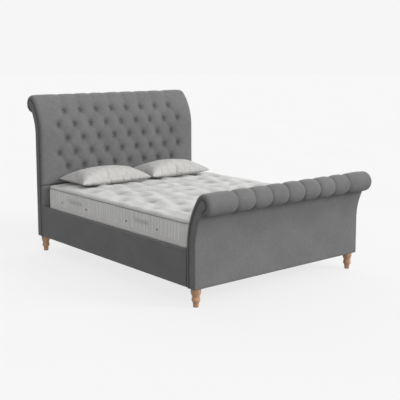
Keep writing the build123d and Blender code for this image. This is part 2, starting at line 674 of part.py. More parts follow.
tuft_points = []
for row in range(TUFT_ROWS):
    columns = TUFT_COLUMNS - row % 2
    for column in range(columns):
        x = (column - (columns - 1) / 2) * MATTRESS_WIDTH / TUFT_COLUMNS
        y = (row - (TUFT_ROWS - 1) / 2) * MATTRESS_LENGTH / TUFT_ROWS
        tuft_points.append((x, y, CROWN_TOP - TUFT_SINK))

with BuildPart() as quilted_top:
    mattress_layer(CROWN_BASE, CROWN_TOP)
    fillet(quilted_top.faces().sort_by(Axis.Z)[-1].edges(), CROWN_FILLET)
    with Locations(*tuft_points):
        Cylinder(TUFT_RADIUS, TUFT_SINK, align=STANDING, mode=Mode.SUBTRACT)
quilted_top.part.label = "mattress_quilted_top"
export_step(quilted_top.part, "parts/mattress_quilted_top.step")

with BuildPart() as tufts:
    with Locations(*tuft_points):
        Cylinder(TUFT_RADIUS, TUFT_HEIGHT, align=STANDING)
tufts.part.label = "mattress_tufts"
export_step(tufts.part, "parts/mattress_tufts.step")

with BuildPart() as vents:
    for side in SIDES:
        for y in VENT_PLACES:
            with BuildSketch(Plane(origin=(side * BORDER_X, y, VENT_LEVEL), z_dir=(side, 0, 0))):
                Circle(VENT_RADIUS)
                Circle(VENT_HOLE, mode=Mode.SUBTRACT)
            extrude(amount=VENT_PROUD)
vents.part.label = "mattress_vents"
export_step(vents.part, "parts/mattress_vents.step")

with BuildPart() as handles:
    for side in SIDES:
        for y in HANDLE_PLACES:
            with BuildSketch(Plane.XY.offset(HANDLE_LEVEL - HANDLE_WIDTH / 2)):
                with Locations((side * (BORDER_X + (HANDLE_STRAP + HANDLE_GAP) / 2), y)):
                    Rectangle(HANDLE_STRAP + HANDLE_GAP, HANDLE_LENGTH)
                with Locations((side * (BORDER_X + HANDLE_GAP / 2), y)):
                    Rectangle(HANDLE_GAP, HANDLE_LENGTH - 2 * HANDLE_END, mode=Mode.SUBTRACT)
            extrude(amount=HANDLE_WIDTH)
handles.part.label = "mattress_handles"
export_step(handles.part, "parts/mattress_handles.step")

# ---- Pillows -------------------------------------------------------------------------------------------
pillow_y = FACE_Y - PILLOW_TO_HEAD - PILLOW_LENGTH / 2
for hand, side in (("left", -1), ("right", 1)):
    pillow_x = PILLOW_SHIFT + side * (PILLOW_WIDTH + PILLOW_BETWEEN) / 2
    pillow_base = CROWN_TOP + PILLOW_GAP
    with BuildPart() as pillow:
        for level, taper in ((0, PILLOW_TAPER), (PILLOW_HEIGHT / 2, 0), (PILLOW_HEIGHT, PILLOW_TAPER)):
            with BuildSketch(Plane((pillow_x, pillow_y, pillow_base + level))):
                RectangleRounded(PILLOW_WIDTH - taper, PILLOW_LENGTH - taper, PILLOW_CORNER)
        loft(ruled=True)
    pillow.part.label = f"pillow_{hand}"
    export_step(pillow.part, f"parts/pillow_{hand}.step")
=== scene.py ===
"""Upholstered sleigh bed: covers, pads, mattress and pillows over the frame, with finishes, light and camera.

Lengths are metres. X runs across the bed, +Y towards the head end and +Z up, with the floor at zero.
"""

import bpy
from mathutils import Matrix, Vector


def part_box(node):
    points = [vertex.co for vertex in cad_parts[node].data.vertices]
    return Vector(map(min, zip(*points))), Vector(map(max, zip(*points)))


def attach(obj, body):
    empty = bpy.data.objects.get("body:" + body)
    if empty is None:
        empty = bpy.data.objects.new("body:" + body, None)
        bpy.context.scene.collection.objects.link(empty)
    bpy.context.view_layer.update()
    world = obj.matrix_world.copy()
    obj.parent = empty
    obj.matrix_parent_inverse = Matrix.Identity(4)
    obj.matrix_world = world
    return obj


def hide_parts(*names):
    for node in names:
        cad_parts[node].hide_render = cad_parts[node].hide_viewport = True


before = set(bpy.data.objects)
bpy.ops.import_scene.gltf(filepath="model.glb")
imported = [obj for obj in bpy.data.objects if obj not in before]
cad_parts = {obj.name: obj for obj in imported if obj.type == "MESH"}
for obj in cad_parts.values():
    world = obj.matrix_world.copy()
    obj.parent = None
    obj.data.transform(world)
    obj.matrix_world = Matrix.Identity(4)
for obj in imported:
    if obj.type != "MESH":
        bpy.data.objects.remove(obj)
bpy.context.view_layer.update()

import logging
import math
from dataclasses import dataclass
from enum import Enum
from typing import Callable, Iterable, NamedTuple, Optional, Sequence

import bmesh
import bpy
import numpy as np
from mathutils import Euler, Matrix, Vector

log = logging.getLogger("sleigh_bed")

Array = np.ndarray
BMesh = bmesh.types.BMesh
Material = bpy.types.Material
Object = bpy.types.Object
Socket = bpy.types.NodeSocket
Colour = tuple[float, float, float]
Pair = tuple[Array, Array]

ORIGIN = Vector((0.0, 0.0, 0.0))
ACROSS = Vector((1.0, 0.0, 0.0))
UP = Vector((0.0, 0.0, 1.0))


class Side(Enum):
    """The two long sides of the bed."""

    LEFT = -1
    RIGHT = 1


class End(Enum):
    """The two ends of the bed."""

    FOOT = -1
    HEAD = 1


class Coordinates(Enum):
    """What a finish's pattern follows."""

    OBJECT = "Object"
    UV = "UV"


# ---- Finishes ------------------------------------------------------------------------------------------


class Recipe:
    """A material's node tree, built a node at a time."""

    def __init__(self, name: str, coordinates: Coordinates = Coordinates.OBJECT) -> None:
        """Starts a material with a shader, an output and one texture coordinate.

        Args:
            name: the material's name.
            coordinates: what its patterns follow.
        """
        self.material = bpy.data.materials.new(name)
        self.material.use_nodes = True
        self.tree = self.material.node_tree
        self.tree.nodes.clear()
        self.output = self.tree.nodes.new("ShaderNodeOutputMaterial")
        self.shader = self.tree.nodes.new("ShaderNodeBsdfPrincipled")
        self.link(self.shader.outputs["BSDF"], self.output.inputs["Surface"])
        place = self.tree.nodes.new("ShaderNodeTexCoord")
        self.place = place.outputs[coordinates.value]

    def link(self, start: Socket, end: Socket) -> None:
        """Joins an output to an input."""
        self.tree.links.new(start, end)

    def stretch(self, scale: Sequence[float], turn: float = 0.0) -> Socket:
        """Scales and turns the pattern's coordinates.

        Args:
            scale: factor along each axis.
            turn: turn about the third axis, in radians.

        Returns:
            The stretched coordinates.
        """
        node = self.tree.nodes.new("ShaderNodeMapping")
        node.inputs["Scale"].default_value = tuple(scale)
        node.inputs["Rotation"].default_value = (0.0, 0.0, turn)
        self.link(self.place, node.inputs["Vector"])
        return node.outputs["Vector"]

    def noise(self, scale: float, detail: float = 3.0, at: Optional[Socket] = None) -> Socket:
        """Cloudy variation.

        Args:
            scale: how many blotches per metre.
            detail: octaves of finer variation.
            at: coordinates, or the object's own.

        Returns:
            A value around one half.
        """
        node = self.tree.nodes.new("ShaderNodeTexNoise")
        node.inputs["Scale"].default_value = scale
        node.inputs["Detail"].default_value = detail
        self.link(at or self.place, node.inputs["Vector"])
        return node.outputs["Fac"]

    def bands(self, pitch: float, axis: str, wobble: float = 0.0, at: Optional[Socket] = None) -> Socket:
        """Even stripes, such as the threads of a cloth.

        Args:
            pitch: distance from one stripe to the next.
            axis: X, Y, Z or DIAGONAL.
            wobble: how far the stripes wander.
            at: coordinates, or the object's own.

        Returns:
            A value from zero between stripes to one on them.
        """
        node = self.tree.nodes.new("ShaderNodeTexWave")
        node.wave_type = "BANDS"
        node.bands_direction = axis
        node.inputs["Scale"].default_value = math.tau / (20.0 * pitch)
        node.inputs["Distortion"].default_value = wobble
        node.inputs["Detail"].default_value = 1.0
        self.link(at or self.place, node.inputs["Vector"])
        return node.outputs["Fac"]

    def sum(self, first: Socket, second: Socket, how: str = "ADD") -> Socket:
        """Combines two values by arithmetic, such as ADD, MULTIPLY or MAXIMUM."""
        node = self.tree.nodes.new("ShaderNodeMath")
        node.operation = how
        self.link(first, node.inputs[0])
        self.link(second, node.inputs[1])
        return node.outputs["Value"]

    def spread(self, value: Socket, low: float, high: float, start: float = 0.0, end: float = 1.0) -> Socket:
        """Maps a value onto another range.

        Args:
            value: what is mapped.
            low: result at start.
            high: result at end.
            start: value that gives low.
            end: value that gives high.

        Returns:
            The mapped value.
        """
        node = self.tree.nodes.new("ShaderNodeMapRange")
        for socket, number in (("From Min", start), ("From Max", end), ("To Min", low), ("To Max", high)):
            node.inputs[socket].default_value = number
        self.link(value, node.inputs["Value"])
        return node.outputs["Result"]

    def blend(self, factor: Socket, first: Sequence[float], second: Sequence[float]) -> Socket:
        """Fades from one colour to another by a factor."""
        node = self.tree.nodes.new("ShaderNodeMix")
        node.data_type = "RGBA"
        self.link(factor, node.inputs["Factor"])
        node.inputs[6].default_value = (*first, 1.0)
        node.inputs[7].default_value = (*second, 1.0)
        return node.outputs[2]

    def tint(self, factor: Socket, under: Socket, over: Sequence[float]) -> Socket:
        """Lays one colour over a varying one by a factor."""
        node = self.tree.nodes.new("ShaderNodeMix")
        node.data_type = "RGBA"
        self.link(factor, node.inputs["Factor"])
        self.link(under, node.inputs[6])
        node.inputs[7].default_value = (*over, 1.0)
        return node.outputs[2]

    def pulled(self, share: float) -> Socket:
        """How far the cloth is pulled in, from zero to a share, to darken it there as painted shade."""
        node = self.tree.nodes.new("ShaderNodeAttribute")
        node.attribute_name = "pulled"
        return self.spread(node.outputs["Fac"], 0.0, share)

    def relief(
        self, height: Socket, depth: float, strength: float = 1.0, under: Optional[Socket] = None
    ) -> Socket:
        """Bumps the surface.

        Args:
            height: a value from zero to one.
            depth: metres from zero to one.
            strength: how much of it shows.
            under: a coarser relief below this one.

        Returns:
            The bumped normal.
        """
        node = self.tree.nodes.new("ShaderNodeBump")
        node.inputs["Distance"].default_value = depth
        node.inputs["Strength"].default_value = strength
        self.link(height, node.inputs["Height"])
        if under is not None:
            self.link(under, node.inputs["Normal"])
        return node.outputs["Normal"]

    def set(self, **values: float) -> None:
        """Sets constants on the shader's own sockets, with underscores for the spaces in their names."""
        for name, value in values.items():
            self.shader.inputs[name.replace("_", " ")].default_value = value

    def feed(self, **sockets: Socket) -> None:
        """Feeds varying values to the shader's sockets."""
        for name, socket in sockets.items():
            self.link(socket, self.shader.inputs[name.replace("_", " ")])


@dataclass(frozen=True)
class Finish:
    """What every finish has: a name and the two colours that it varies between."""

    name: str
    light: Colour
    dark: Colour


@dataclass(frozen=True)
class WovenCloth(Finish):
    """Plain-woven cloth: two threads, flecks of light and dark fibre, soft uneven wear, and painted shade
    where it is pulled in.
    """

    thread: float = 0.0016
    thread_depth: float = 0.0004
    roughness: float = 0.92
    sheen: float = 0.18
    coordinates: Coordinates = Coordinates.OBJECT
    painted_shade: float = 0.75
    crumple: float = 0.0
    shade: float = 0.3

    def make(self) -> Material:
        """Builds the material.

        Returns:
            The finished cloth.
        """
        cloth = Recipe(self.name, self.coordinates)
        across = cloth.bands(self.thread, "X", 0.6)
        along = cloth.bands(self.thread, "Y", 0.6)
        if self.coordinates is Coordinates.OBJECT:
            along = cloth.sum(along, cloth.bands(self.thread, "Z", 0.6), "MAXIMUM")
        weave = cloth.sum(across, along, "MAXIMUM")
        slub = cloth.noise(260.0, 2.0, cloth.stretch((1.0, 0.12, 0.12)))
        fleck = cloth.noise(700.0, 2.0)
        cloud = cloth.noise(4.0, 3.0)
        mottle = cloth.noise(38.0, 3.0)
        mixed = cloth.sum(cloth.spread(fleck, 0.0, 0.45, 0.3, 0.7), cloth.spread(slub, 0.0, 0.25, 0.3, 0.7))
        mixed = cloth.sum(mixed, cloth.spread(cloud, -0.1, 0.2, 0.3, 0.7))
        mixed = cloth.sum(mixed, cloth.spread(mottle, -0.06, 0.16, 0.3, 0.7))
        worn = cloth.blend(mixed, self.dark, self.light)
        # painted shade: the colour is darkened towards a shade tone where the cloth is pulled in, by the
        # pulled attribute
        shaded = tuple(value * self.shade for value in self.dark)
        cloth.feed(Base_Color=cloth.tint(cloth.pulled(self.painted_shade), worn, shaded))
        cloth.feed(Roughness=cloth.spread(mottle, self.roughness - 0.06, self.roughness + 0.04, 0.3, 0.7))
        coarse = cloth.relief(mottle, 0.0012, 0.35)
        if self.crumple:
            creases = cloth.noise(11.0, 2.0, cloth.stretch((1.6, 0.7, 1.0), 0.5))
            coarse = cloth.relief(creases, self.crumple, 1.0, coarse)
        cloth.feed(Normal=cloth.relief(weave, self.thread_depth, 0.6, coarse))
        cloth.set(Sheen_Weight=self.sheen, Sheen_Roughness=0.45, Specular_IOR_Level=0.25)
        return cloth.material


@dataclass(frozen=True)
class Damask(Finish):
    """Mattress ticking: a fine satin ground with faint woven figures, and painted shade where it is pulled
    in.
    """

    figure: float = 55.0
    roughness: float = 0.7
    painted_shade: float = 0.55
    shade: float = 0.35

    def make(self) -> Material:
        """Builds the material.

        Returns:
            The finished ticking.
        """
        cloth = Recipe(self.name)
        figure = cloth.noise(self.figure, 1.0)
        edge = cloth.spread(figure, 0.0, 1.0, 0.47, 0.53)
        thread = cloth.sum(cloth.bands(0.0011, "X", 0.4), cloth.bands(0.0011, "Y", 0.4), "MAXIMUM")
        cloud = cloth.noise(5.0, 3.0)
        mixed = cloth.sum(cloth.spread(edge, 0.35, 0.6), cloth.spread(cloud, -0.2, 0.25, 0.3, 0.7))
        worn = cloth.blend(mixed, self.dark, self.light)
        # painted shade: the colour is darkened towards a shade tone where the cloth is pulled in, by the
        # pulled attribute
        shaded = tuple(value * self.shade for value in self.dark)
        cloth.feed(Base_Color=cloth.tint(cloth.pulled(self.painted_shade), worn, shaded))
        cloth.feed(Roughness=cloth.spread(edge, self.roughness, self.roughness + 0.16))
        coarse = cloth.relief(edge, 0.0005, 0.4)
        cloth.feed(Normal=cloth.relief(thread, 0.0002, 0.5, coarse))
        cloth.set(Sheen_Weight=0.12, Sheen_Roughness=0.4, Specular_IOR_Level=0.3)
        return cloth.material


@dataclass(frozen=True)
class Timber(Finish):
    """Wood with long grain, growth bands and fine pores."""

    grain: tuple[float, float, float] = (1.0, 1.0, 0.08)
    band: float = 0.012
    roughness: float = 0.5
    coat: float = 0.0

    def make(self) -> Material:
        """Builds the material.

        Returns:
            The finished timber.
        """
        wood = Recipe(self.name)
        along = wood.stretch(self.grain)
        rings = wood.bands(self.band, "DIAGONAL", 7.0, along)
        pores = wood.noise(420.0, 3.0, along)
        cloud = wood.noise(9.0, 3.0, along)
        mixed = wood.sum(wood.spread(rings, 0.1, 0.5), wood.spread(pores, -0.15, 0.35, 0.3, 0.7))
        mixed = wood.sum(mixed, wood.spread(cloud, -0.15, 0.3, 0.3, 0.7))
        wood.feed(Base_Color=wood.blend(mixed, self.dark, self.light))
        wood.feed(Roughness=wood.spread(pores, self.roughness - 0.08, self.roughness + 0.12, 0.3, 0.7))
        wood.feed(Normal=wood.relief(pores, 0.0004, 0.35))
        wood.set(Coat_Weight=self.coat, Coat_Roughness=0.3)
        return wood.material


@dataclass(frozen=True)
class PlatedSteel(Finish):
    """Zinc or nickel plated steel with fine scratches and dull patches."""

    roughness: float = 0.38

    def make(self) -> Material:
        """Builds the material.

        Returns:
            The finished metal.
        """
        metal = Recipe(self.name)
        scratch = metal.noise(300.0, 3.0, metal.stretch((1.0, 0.05, 0.05)))
        patch = metal.noise(30.0, 4.0)
        metal.feed(Base_Color=metal.blend(patch, self.dark, self.light))
        metal.feed(Roughness=metal.spread(patch, self.roughness - 0.12, self.roughness + 0.16, 0.3, 0.7))
        metal.feed(Normal=metal.relief(scratch, 0.0001, 0.3))
        metal.set(Metallic=1.0)
        return metal.material


@dataclass(frozen=True)
class Grained(Finish):
    """A plain solid with a fine grain: moulded plastic, foam, felt or wound paper."""

    grain: float = 900.0
    depth: float = 0.0002
    roughness: float = 0.6
    sheen: float = 0.0

    def make(self) -> Material:
        """Builds the material.

        Returns:
            The finished solid.
        """
        solid = Recipe(self.name)
        grain = solid.noise(self.grain, 3.0)
        cloud = solid.noise(12.0, 3.0)
        mixed = solid.sum(solid.spread(grain, 0.0, 0.6, 0.3, 0.7), solid.spread(cloud, 0.0, 0.4, 0.3, 0.7))
        solid.feed(Base_Color=solid.blend(mixed, self.dark, self.light))
        solid.feed(Roughness=solid.spread(cloud, self.roughness - 0.06, self.roughness + 0.08, 0.3, 0.7))
        solid.feed(Normal=solid.relief(grain, self.depth, 0.5))
        solid.set(Sheen_Weight=self.sheen)
        return solid.material


@dataclass(frozen=True)
class Wardrobe:
    """Every finish on the bed, made once."""

    upholstery: Material
    upholstery_cut: Material
    piping: Material
    ticking: Material
    border: Material
    tape: Material
    strap: Material
    tuft: Material
    pillow: Material
    oak: Material
    beech: Material
    pine: Material
    plywood: Material
    paper: Material
    steel: Material
    nickel: Material
    plastic: Material
    felt: Material
    filling: Material


def make_wardrobe() -> Wardrobe:
    """Mixes every finish.

    Returns:
        The finishes by their use.
    """
    grey_light = (0.220, 0.220, 0.222)
    grey_dark = (0.128, 0.128, 0.130)
    finishes = dict(
        upholstery=WovenCloth("grey_wool_on_pads", grey_light, grey_dark, coordinates=Coordinates.UV),
        upholstery_cut=WovenCloth("grey_wool", grey_light, grey_dark),
        # piping in painted shade: self-fabric piping, darkened to stand for the shade of the groove it sits
        # in
        piping=WovenCloth("grey_wool_piping_painted_shade", (0.10, 0.10, 0.102), (0.056, 0.056, 0.058)),
        # partly the cloths' own tones; the top's ticking is painted darker and the border lighter, for the
        # light falling on each
        ticking=Damask("mattress_damask", (0.66, 0.657, 0.643), (0.53, 0.527, 0.515)),
        border=Damask("mattress_border_cloth", (0.86, 0.855, 0.837), (0.74, 0.735, 0.717), 90.0, painted_shade=0.7),
        # partly the tape's own grey, toned darker as painted shade under the top's overhang
        tape=WovenCloth("mattress_tape", (0.36, 0.355, 0.345), (0.25, 0.247, 0.24), 0.0012),
        strap=WovenCloth("strap_webbing", (0.72, 0.715, 0.70), (0.60, 0.595, 0.58), 0.0014),
        tuft=Grained("tuft_felt", (0.62, 0.61, 0.58), (0.45, 0.44, 0.41), 500.0, 0.0006, 0.95, 0.2),
        pillow=WovenCloth(
            "pillow_cotton", (0.575, 0.570, 0.557), (0.485, 0.481, 0.468), 0.0008, 0.0001, 0.85, 0.1,
            crumple=0.014,
        ),
        oak=Timber("natural_oak", (0.56, 0.32, 0.175), (0.38, 0.195, 0.10), roughness=0.45, coat=0.25),
        beech=Timber("beech_slats", (0.66, 0.49, 0.31), (0.50, 0.34, 0.19), (0.08, 1.0, 1.0), coat=0.2),
        pine=Timber("sawn_pine", (0.62, 0.45, 0.27), (0.45, 0.29, 0.15), (1.0, 0.08, 1.0), roughness=0.7),
        plywood=Timber("birch_plywood", (0.64, 0.48, 0.31), (0.50, 0.35, 0.20), (0.08, 1.0, 1.0)),
        paper=Grained("wound_paper_tube", (0.40, 0.29, 0.18), (0.28, 0.20, 0.12), 200.0, 0.0003, 0.85),
        steel=PlatedSteel("zinc_plate", (0.62, 0.63, 0.64), (0.45, 0.46, 0.47)),
        nickel=PlatedSteel("dark_nickel", (0.20, 0.20, 0.205), (0.10, 0.10, 0.105), 0.3),
        plastic=Grained("black_plastic", (0.035, 0.035, 0.036), (0.018, 0.018, 0.019), 1500.0, 0.0001, 0.5),
        felt=Grained("brown_felt", (0.11, 0.085, 0.07), (0.06, 0.045, 0.035), 600.0, 0.0006, 0.98, 0.3),
        filling=Grained("white_fibre", (0.74, 0.73, 0.69), (0.58, 0.57, 0.53), 300.0, 0.001, 0.98, 0.2),
    )
    return Wardrobe(**{use: finish.make() for use, finish in finishes.items()})


# ---- Shared mesh work ----------------------------------------------------------------------------------


def as_piece(mesh: BMesh, name: str, material: Material, crease: float = 180.0) -> Object:
    """Makes an object of a finished mesh.

    Args:
        mesh: what becomes the object's mesh; it is freed.
        name: the piece's name.
        material: its finish.
        crease: edges that turn by more degrees than this stay sharp.

    Returns:
        The new object, at the origin.
    """
    limit = math.radians(crease)
    for edge in mesh.edges:
        edge.smooth = not (len(edge.link_faces) == 2 and edge.calc_face_angle(0.0) > limit)
    for face in mesh.faces:
        face.smooth = True
    data = as_data(mesh, name)
    data.materials.append(material)
    return in_scene(name, data)


def declare(
    piece: Object, body: str, stands_for: Iterable[str] = ()
) -> None:
    """Tells the frame what a piece is.

    Args:
        piece: the new piece.
        body: the moving body that it rides on.
        stands_for: solids of the frame that it takes the place of.
    """
    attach(piece, body)
    names = list(stands_for)
    if names:
        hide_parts(*names)
    log.info("made %s: %d faces", piece.name, len(piece.data.polygons))


Placing = Callable[[Array, Array], tuple[Array, ...]]
Relief = Callable[[Array, Array], Array]


def mapped_grid(columns: int, rows: int, place: Placing, join_sides: bool = False) -> BMesh:
    """Lays an even grid over a surface.

    Args:
        columns: squares in the first direction.
        rows: squares in the second.
        place: gives points, cloth coordinates and, if it has them, how far the cloth is pulled in (zero to
            one), which the finishes paint as shade, for two arrays of fractions from zero to one.
        join_sides: whether to join the edges at zero and one of the first fraction by a strip.

    Returns:
        The laid grid, with a cloth coordinate layer.
    """
    mesh = bmesh.new()
    bmesh.ops.create_grid(mesh, x_segments=columns, y_segments=rows, size=0.5)
    mesh.verts.index_update()
    flat = np.array([vert.co[:2] for vert in mesh.verts]) + 0.5
    edge_of_grid = np.abs(flat[:, 0] - 0.5) > 0.5 - 1e-5
    sides = [edge for edge in mesh.edges if all(edge_of_grid[vert.index] for vert in edge.verts)]
    points, cloth, *pulled = place(flat[:, 0], flat[:, 1])
    for vert, point in zip(mesh.verts, points.tolist()):
        vert.co = point
    # painted shade: the share kept on each vertex darkens the cloth's colour
    if pulled:
        shade = mesh.verts.layers.float.new("pulled")
        for vert, value in zip(mesh.verts, np.clip(pulled[0], 0.0, 1.0).tolist()):
            vert[shade] = value
    layer = mesh.loops.layers.uv.new("cloth")
    laid = cloth.tolist()
    for face in mesh.faces:
        for loop in face.loops:
            loop[layer].uv = laid[loop.vert.index]
    if join_sides:
        bmesh.ops.bridge_loops(mesh, edges=sides)
    return mesh


def close_up(mesh: BMesh) -> None:
    """Fills what is left open and turns every face outwards."""
    rim = [edge for edge in mesh.edges if edge.is_boundary]
    bmesh.ops.holes_fill(mesh, edges=rim, sides=0)
    bmesh.ops.recalc_face_normals(mesh, faces=mesh.faces)


def weld(mesh: BMesh, distance: float = 1e-5) -> None:
    """Joins vertices that share a place."""
    bmesh.ops.remove_doubles(mesh, verts=mesh.verts, dist=distance)


def waviness(x: Array, y: Array, seed: int, pitch: float, depth: float) -> Array:
    """Gentle unevenness of hand-laid cloth.

    Args:
        x: first place.
        y: second place.
        seed: which pattern.
        pitch: distance between swells.
        depth: greatest height.

    Returns:
        A height at each place.
    """
    chance = np.random.default_rng(seed)
    total = np.zeros_like(x)
    waves = 7
    for _ in range(waves):
        angle = chance.uniform(0.0, math.tau)
        length = pitch * chance.uniform(0.7, 1.6)
        run = x * math.cos(angle) + y * math.sin(angle)
        total += np.sin(run * math.tau / length + chance.uniform(0.0, math.tau))
    return total * depth / math.sqrt(waves)


def ease(value: Array) -> Array:
    """Quarter-round from one at zero to zero at one, with a flat end."""
    clipped = np.clip(value, 0.0, 1.0)
    return 1.0 - np.sqrt(1.0 - (1.0 - clipped) ** 2)


def smoothed(value: Array) -> Array:
    """Eases both ends of a share from zero to one."""
    return value * value * (3.0 - 2.0 * value)


def in_scene(name: str, data: bpy.types.ID) -> Object:
    """Makes an object of its data and shows it in the scene."""
    made = bpy.data.objects.new(name, data)
    bpy.context.scene.collection.objects.link(made)
    return made


def as_data(mesh: BMesh, name: str) -> bpy.types.Mesh:
    """Makes mesh data of a finished mesh, which is freed."""
    data = bpy.data.meshes.new(name)
    mesh.to_mesh(data)
    mesh.free()
    return data


def of_kind(parts: Iterable[object], kind: type) -> list:
    """The parts of a mesh that are of one kind, such as its vertices."""
    return [part for part in parts if isinstance(part, kind)]


def spun(
    mesh: BMesh, parts: list, centre: Vector, axis: Vector, angle: float, steps: int, merge: bool = False
) -> list:
    """Turns a profile round an axis.

    Args:
        mesh: the mesh that it is in.
        parts: its vertices and edges.
        centre: a point on the axis.
        axis: the axis's direction.
        angle: how far it turns, in radians.
        steps: how many steps that takes.
        merge: whether its end is joined to its start.

    Returns:
        The profile at the end of the turn.
    """
    made = bmesh.ops.spin(
        mesh, geom=parts, cent=centre, axis=axis, angle=angle, steps=steps, use_merge=merge
    )
    return made["geom_last"]


@dataclass(frozen=True)
class BoardSection:
    """Side view of a sleigh board. Its run is measured up the face, round the bend and over the roll."""

    end: End
    face: float
    base: float
    bend_start: float
    depth: float
    pad: float
    roll_radius: float
    roll_reach: float
    roll_height: float

    @classmethod
    def measured(cls, end: End, name: str, pad_node: str, bend_start: float, depth: float) -> "BoardSection":
        """Reads a board's section from the frame.

        Args:
            end: which end of the bed.
            name: the board's name in the frame.
            pad_node: the solid that wraps its roll.
            bend_start: height at which its bend starts.
            depth: thickness below the bend.

        Returns:
            The board's section.
        """
        pad_low, pad_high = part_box(pad_node)
        tube_low, tube_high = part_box(f"{name}_roll_tube")
        centre = (tube_low + tube_high) / 2
        face = pad_low.y if end is End.HEAD else -pad_high.y
        return cls(
            end=end,
            face=face,
            base=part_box(f"{name}_outer_panel")[0].z,
            bend_start=bend_start,
            depth=depth,
            pad=pad_high.z - tube_high.z,
            roll_radius=pad_high.z - centre.z,
            roll_reach=abs(centre.y) - face,
            roll_height=centre.z,
        )

    @property
    def bend_radius(self) -> float:
        """Radius of the face's bend."""
        rise = self.roll_height - self.bend_start
        room = 2 * (self.roll_reach - self.roll_radius)
        return (self.roll_reach**2 + rise**2 - self.roll_radius**2) / room

    @property
    def bend_turn(self) -> float:
        """Angle of the bend."""
        return math.asin((self.roll_height - self.bend_start) / (self.bend_radius - self.roll_radius))

    @property
    def rise(self) -> float:
        """Run of the straight part."""
        return self.bend_start - self.base

    @property
    def roll_start(self) -> float:
        """Run at which the roll starts."""
        return self.rise + self.bend_radius * self.bend_turn

    def roll_turn(self, inset: float, depth: float) -> float:
        """Angle round the roll, at an inset from its surface, to where it meets a depth of the board."""
        radius = self.roll_radius - inset
        gap = self.bend_radius - self.roll_radius
        across = ((self.bend_radius - depth) ** 2 - gap**2 - radius**2) / (2 * gap * radius)
        return math.tau - math.acos(across)

    @property
    def roll_stop(self) -> float:
        """Run at which the roll meets the outside of the board."""
        return self.roll_start + self.roll_radius * self.roll_turn(0.0, self.depth)

    def outside_turn(self, inset: float, depth: float) -> float:
        """Angle of the bend at which a depth of the board meets the roll at an inset."""
        angle = self.bend_turn + self.roll_turn(inset, depth)
        radius = self.roll_radius - inset
        u = self.roll_reach - radius * math.cos(angle)
        v = self.roll_height + radius * math.sin(angle)
        return math.atan2(v - self.bend_start, self.bend_radius - u)

    def angle(self, run: Array) -> Array:
        """Angle that the face has turned at a run."""
        bend = np.clip((run - self.rise) / self.bend_radius, 0.0, self.bend_turn)
        return bend + np.clip(run - self.roll_start, 0.0, None) / self.roll_radius

    def point(self, run: Array, depth: Array) -> Pair:
        """Where a run and a depth under the face are.

        Args:
            run: distance along the face.
            depth: distance under it.

        Returns:
            Distance outwards from the face and height.
        """
        turned = self.angle(run)
        on_roll = run > self.roll_start
        radius = np.where(on_roll, self.roll_radius, self.bend_radius) - depth
        centre_u = np.where(on_roll, self.roll_reach, self.bend_radius)
        centre_v = np.where(on_roll, self.roll_height, self.bend_start)
        u = centre_u - radius * np.cos(turned)
        v = centre_v + radius * np.sin(turned) + np.minimum(run - self.rise, 0.0)
        return u, v

    def run_at(self, height: float) -> float:
        """Run at which the face reaches a height, below the roll."""
        if height <= self.bend_start:
            return height - self.base
        return self.rise + self.bend_radius * math.asin((height - self.bend_start) / self.bend_radius)

    def side_point(self, u: float, v: float, x: float = 0.0) -> Vector:
        """A point outwards from the face and at a height, in the bed's own frame."""
        return Vector((x, self.end.value * (self.face + u), v))

    def world(self, x: Array, run: Array, depth: Array) -> Array:
        """Points in the bed's own frame."""
        u, v = self.point(run, depth)
        return np.stack([x, self.end.value * (self.face + u), v], axis=1)


@dataclass(frozen=True)
class Fold:
    """A crease in stuffed cloth, from one place to another."""

    start: tuple[float, float]
    stop: tuple[float, float]
    strength: float = 1.0


@dataclass(frozen=True)
class Tufting:
    """Stuffed cloth pulled in at points, with folds between them."""

    points: tuple[tuple[float, float], ...]
    folds: tuple[Fold, ...]
    point_depth: float
    point_reach: float
    fold_depth: float
    fold_reach: float
    fold_power: float = 1.35
    point_power: float = 1.6
    point_tall: float = 1.0

    def depth(self, x: Array, y: Array) -> Array:
        """How far the cloth is pulled in at each place.

        Args:
            x: first place.
            y: second place.

        Returns:
            Depths, from zero far from every point and fold.
        """
        left_by_folds = np.ones_like(x)
        for fold in self.folds:
            ax, ay = fold.start
            bx, by = fold.stop
            length = (bx - ax) ** 2 + (by - ay) ** 2
            along = np.clip(((x - ax) * (bx - ax) + (y - ay) * (by - ay)) / length, 0.0, 1.0)
            away = np.hypot(x - ax - along * (bx - ax), y - ay - along * (by - ay))
            left_by_folds *= 1.0 - fold.strength * np.exp(-((away / self.fold_reach) ** self.fold_power))
        left_by_points = np.ones_like(x)
        for px, py in self.points:
            away = np.hypot(x - px, (y - py) / self.point_tall)
            left_by_points *= 1.0 - np.exp(-((away / self.point_reach) ** self.point_power))
        return self.fold_depth * (1.0 - left_by_folds) + self.point_depth * (1.0 - left_by_points)


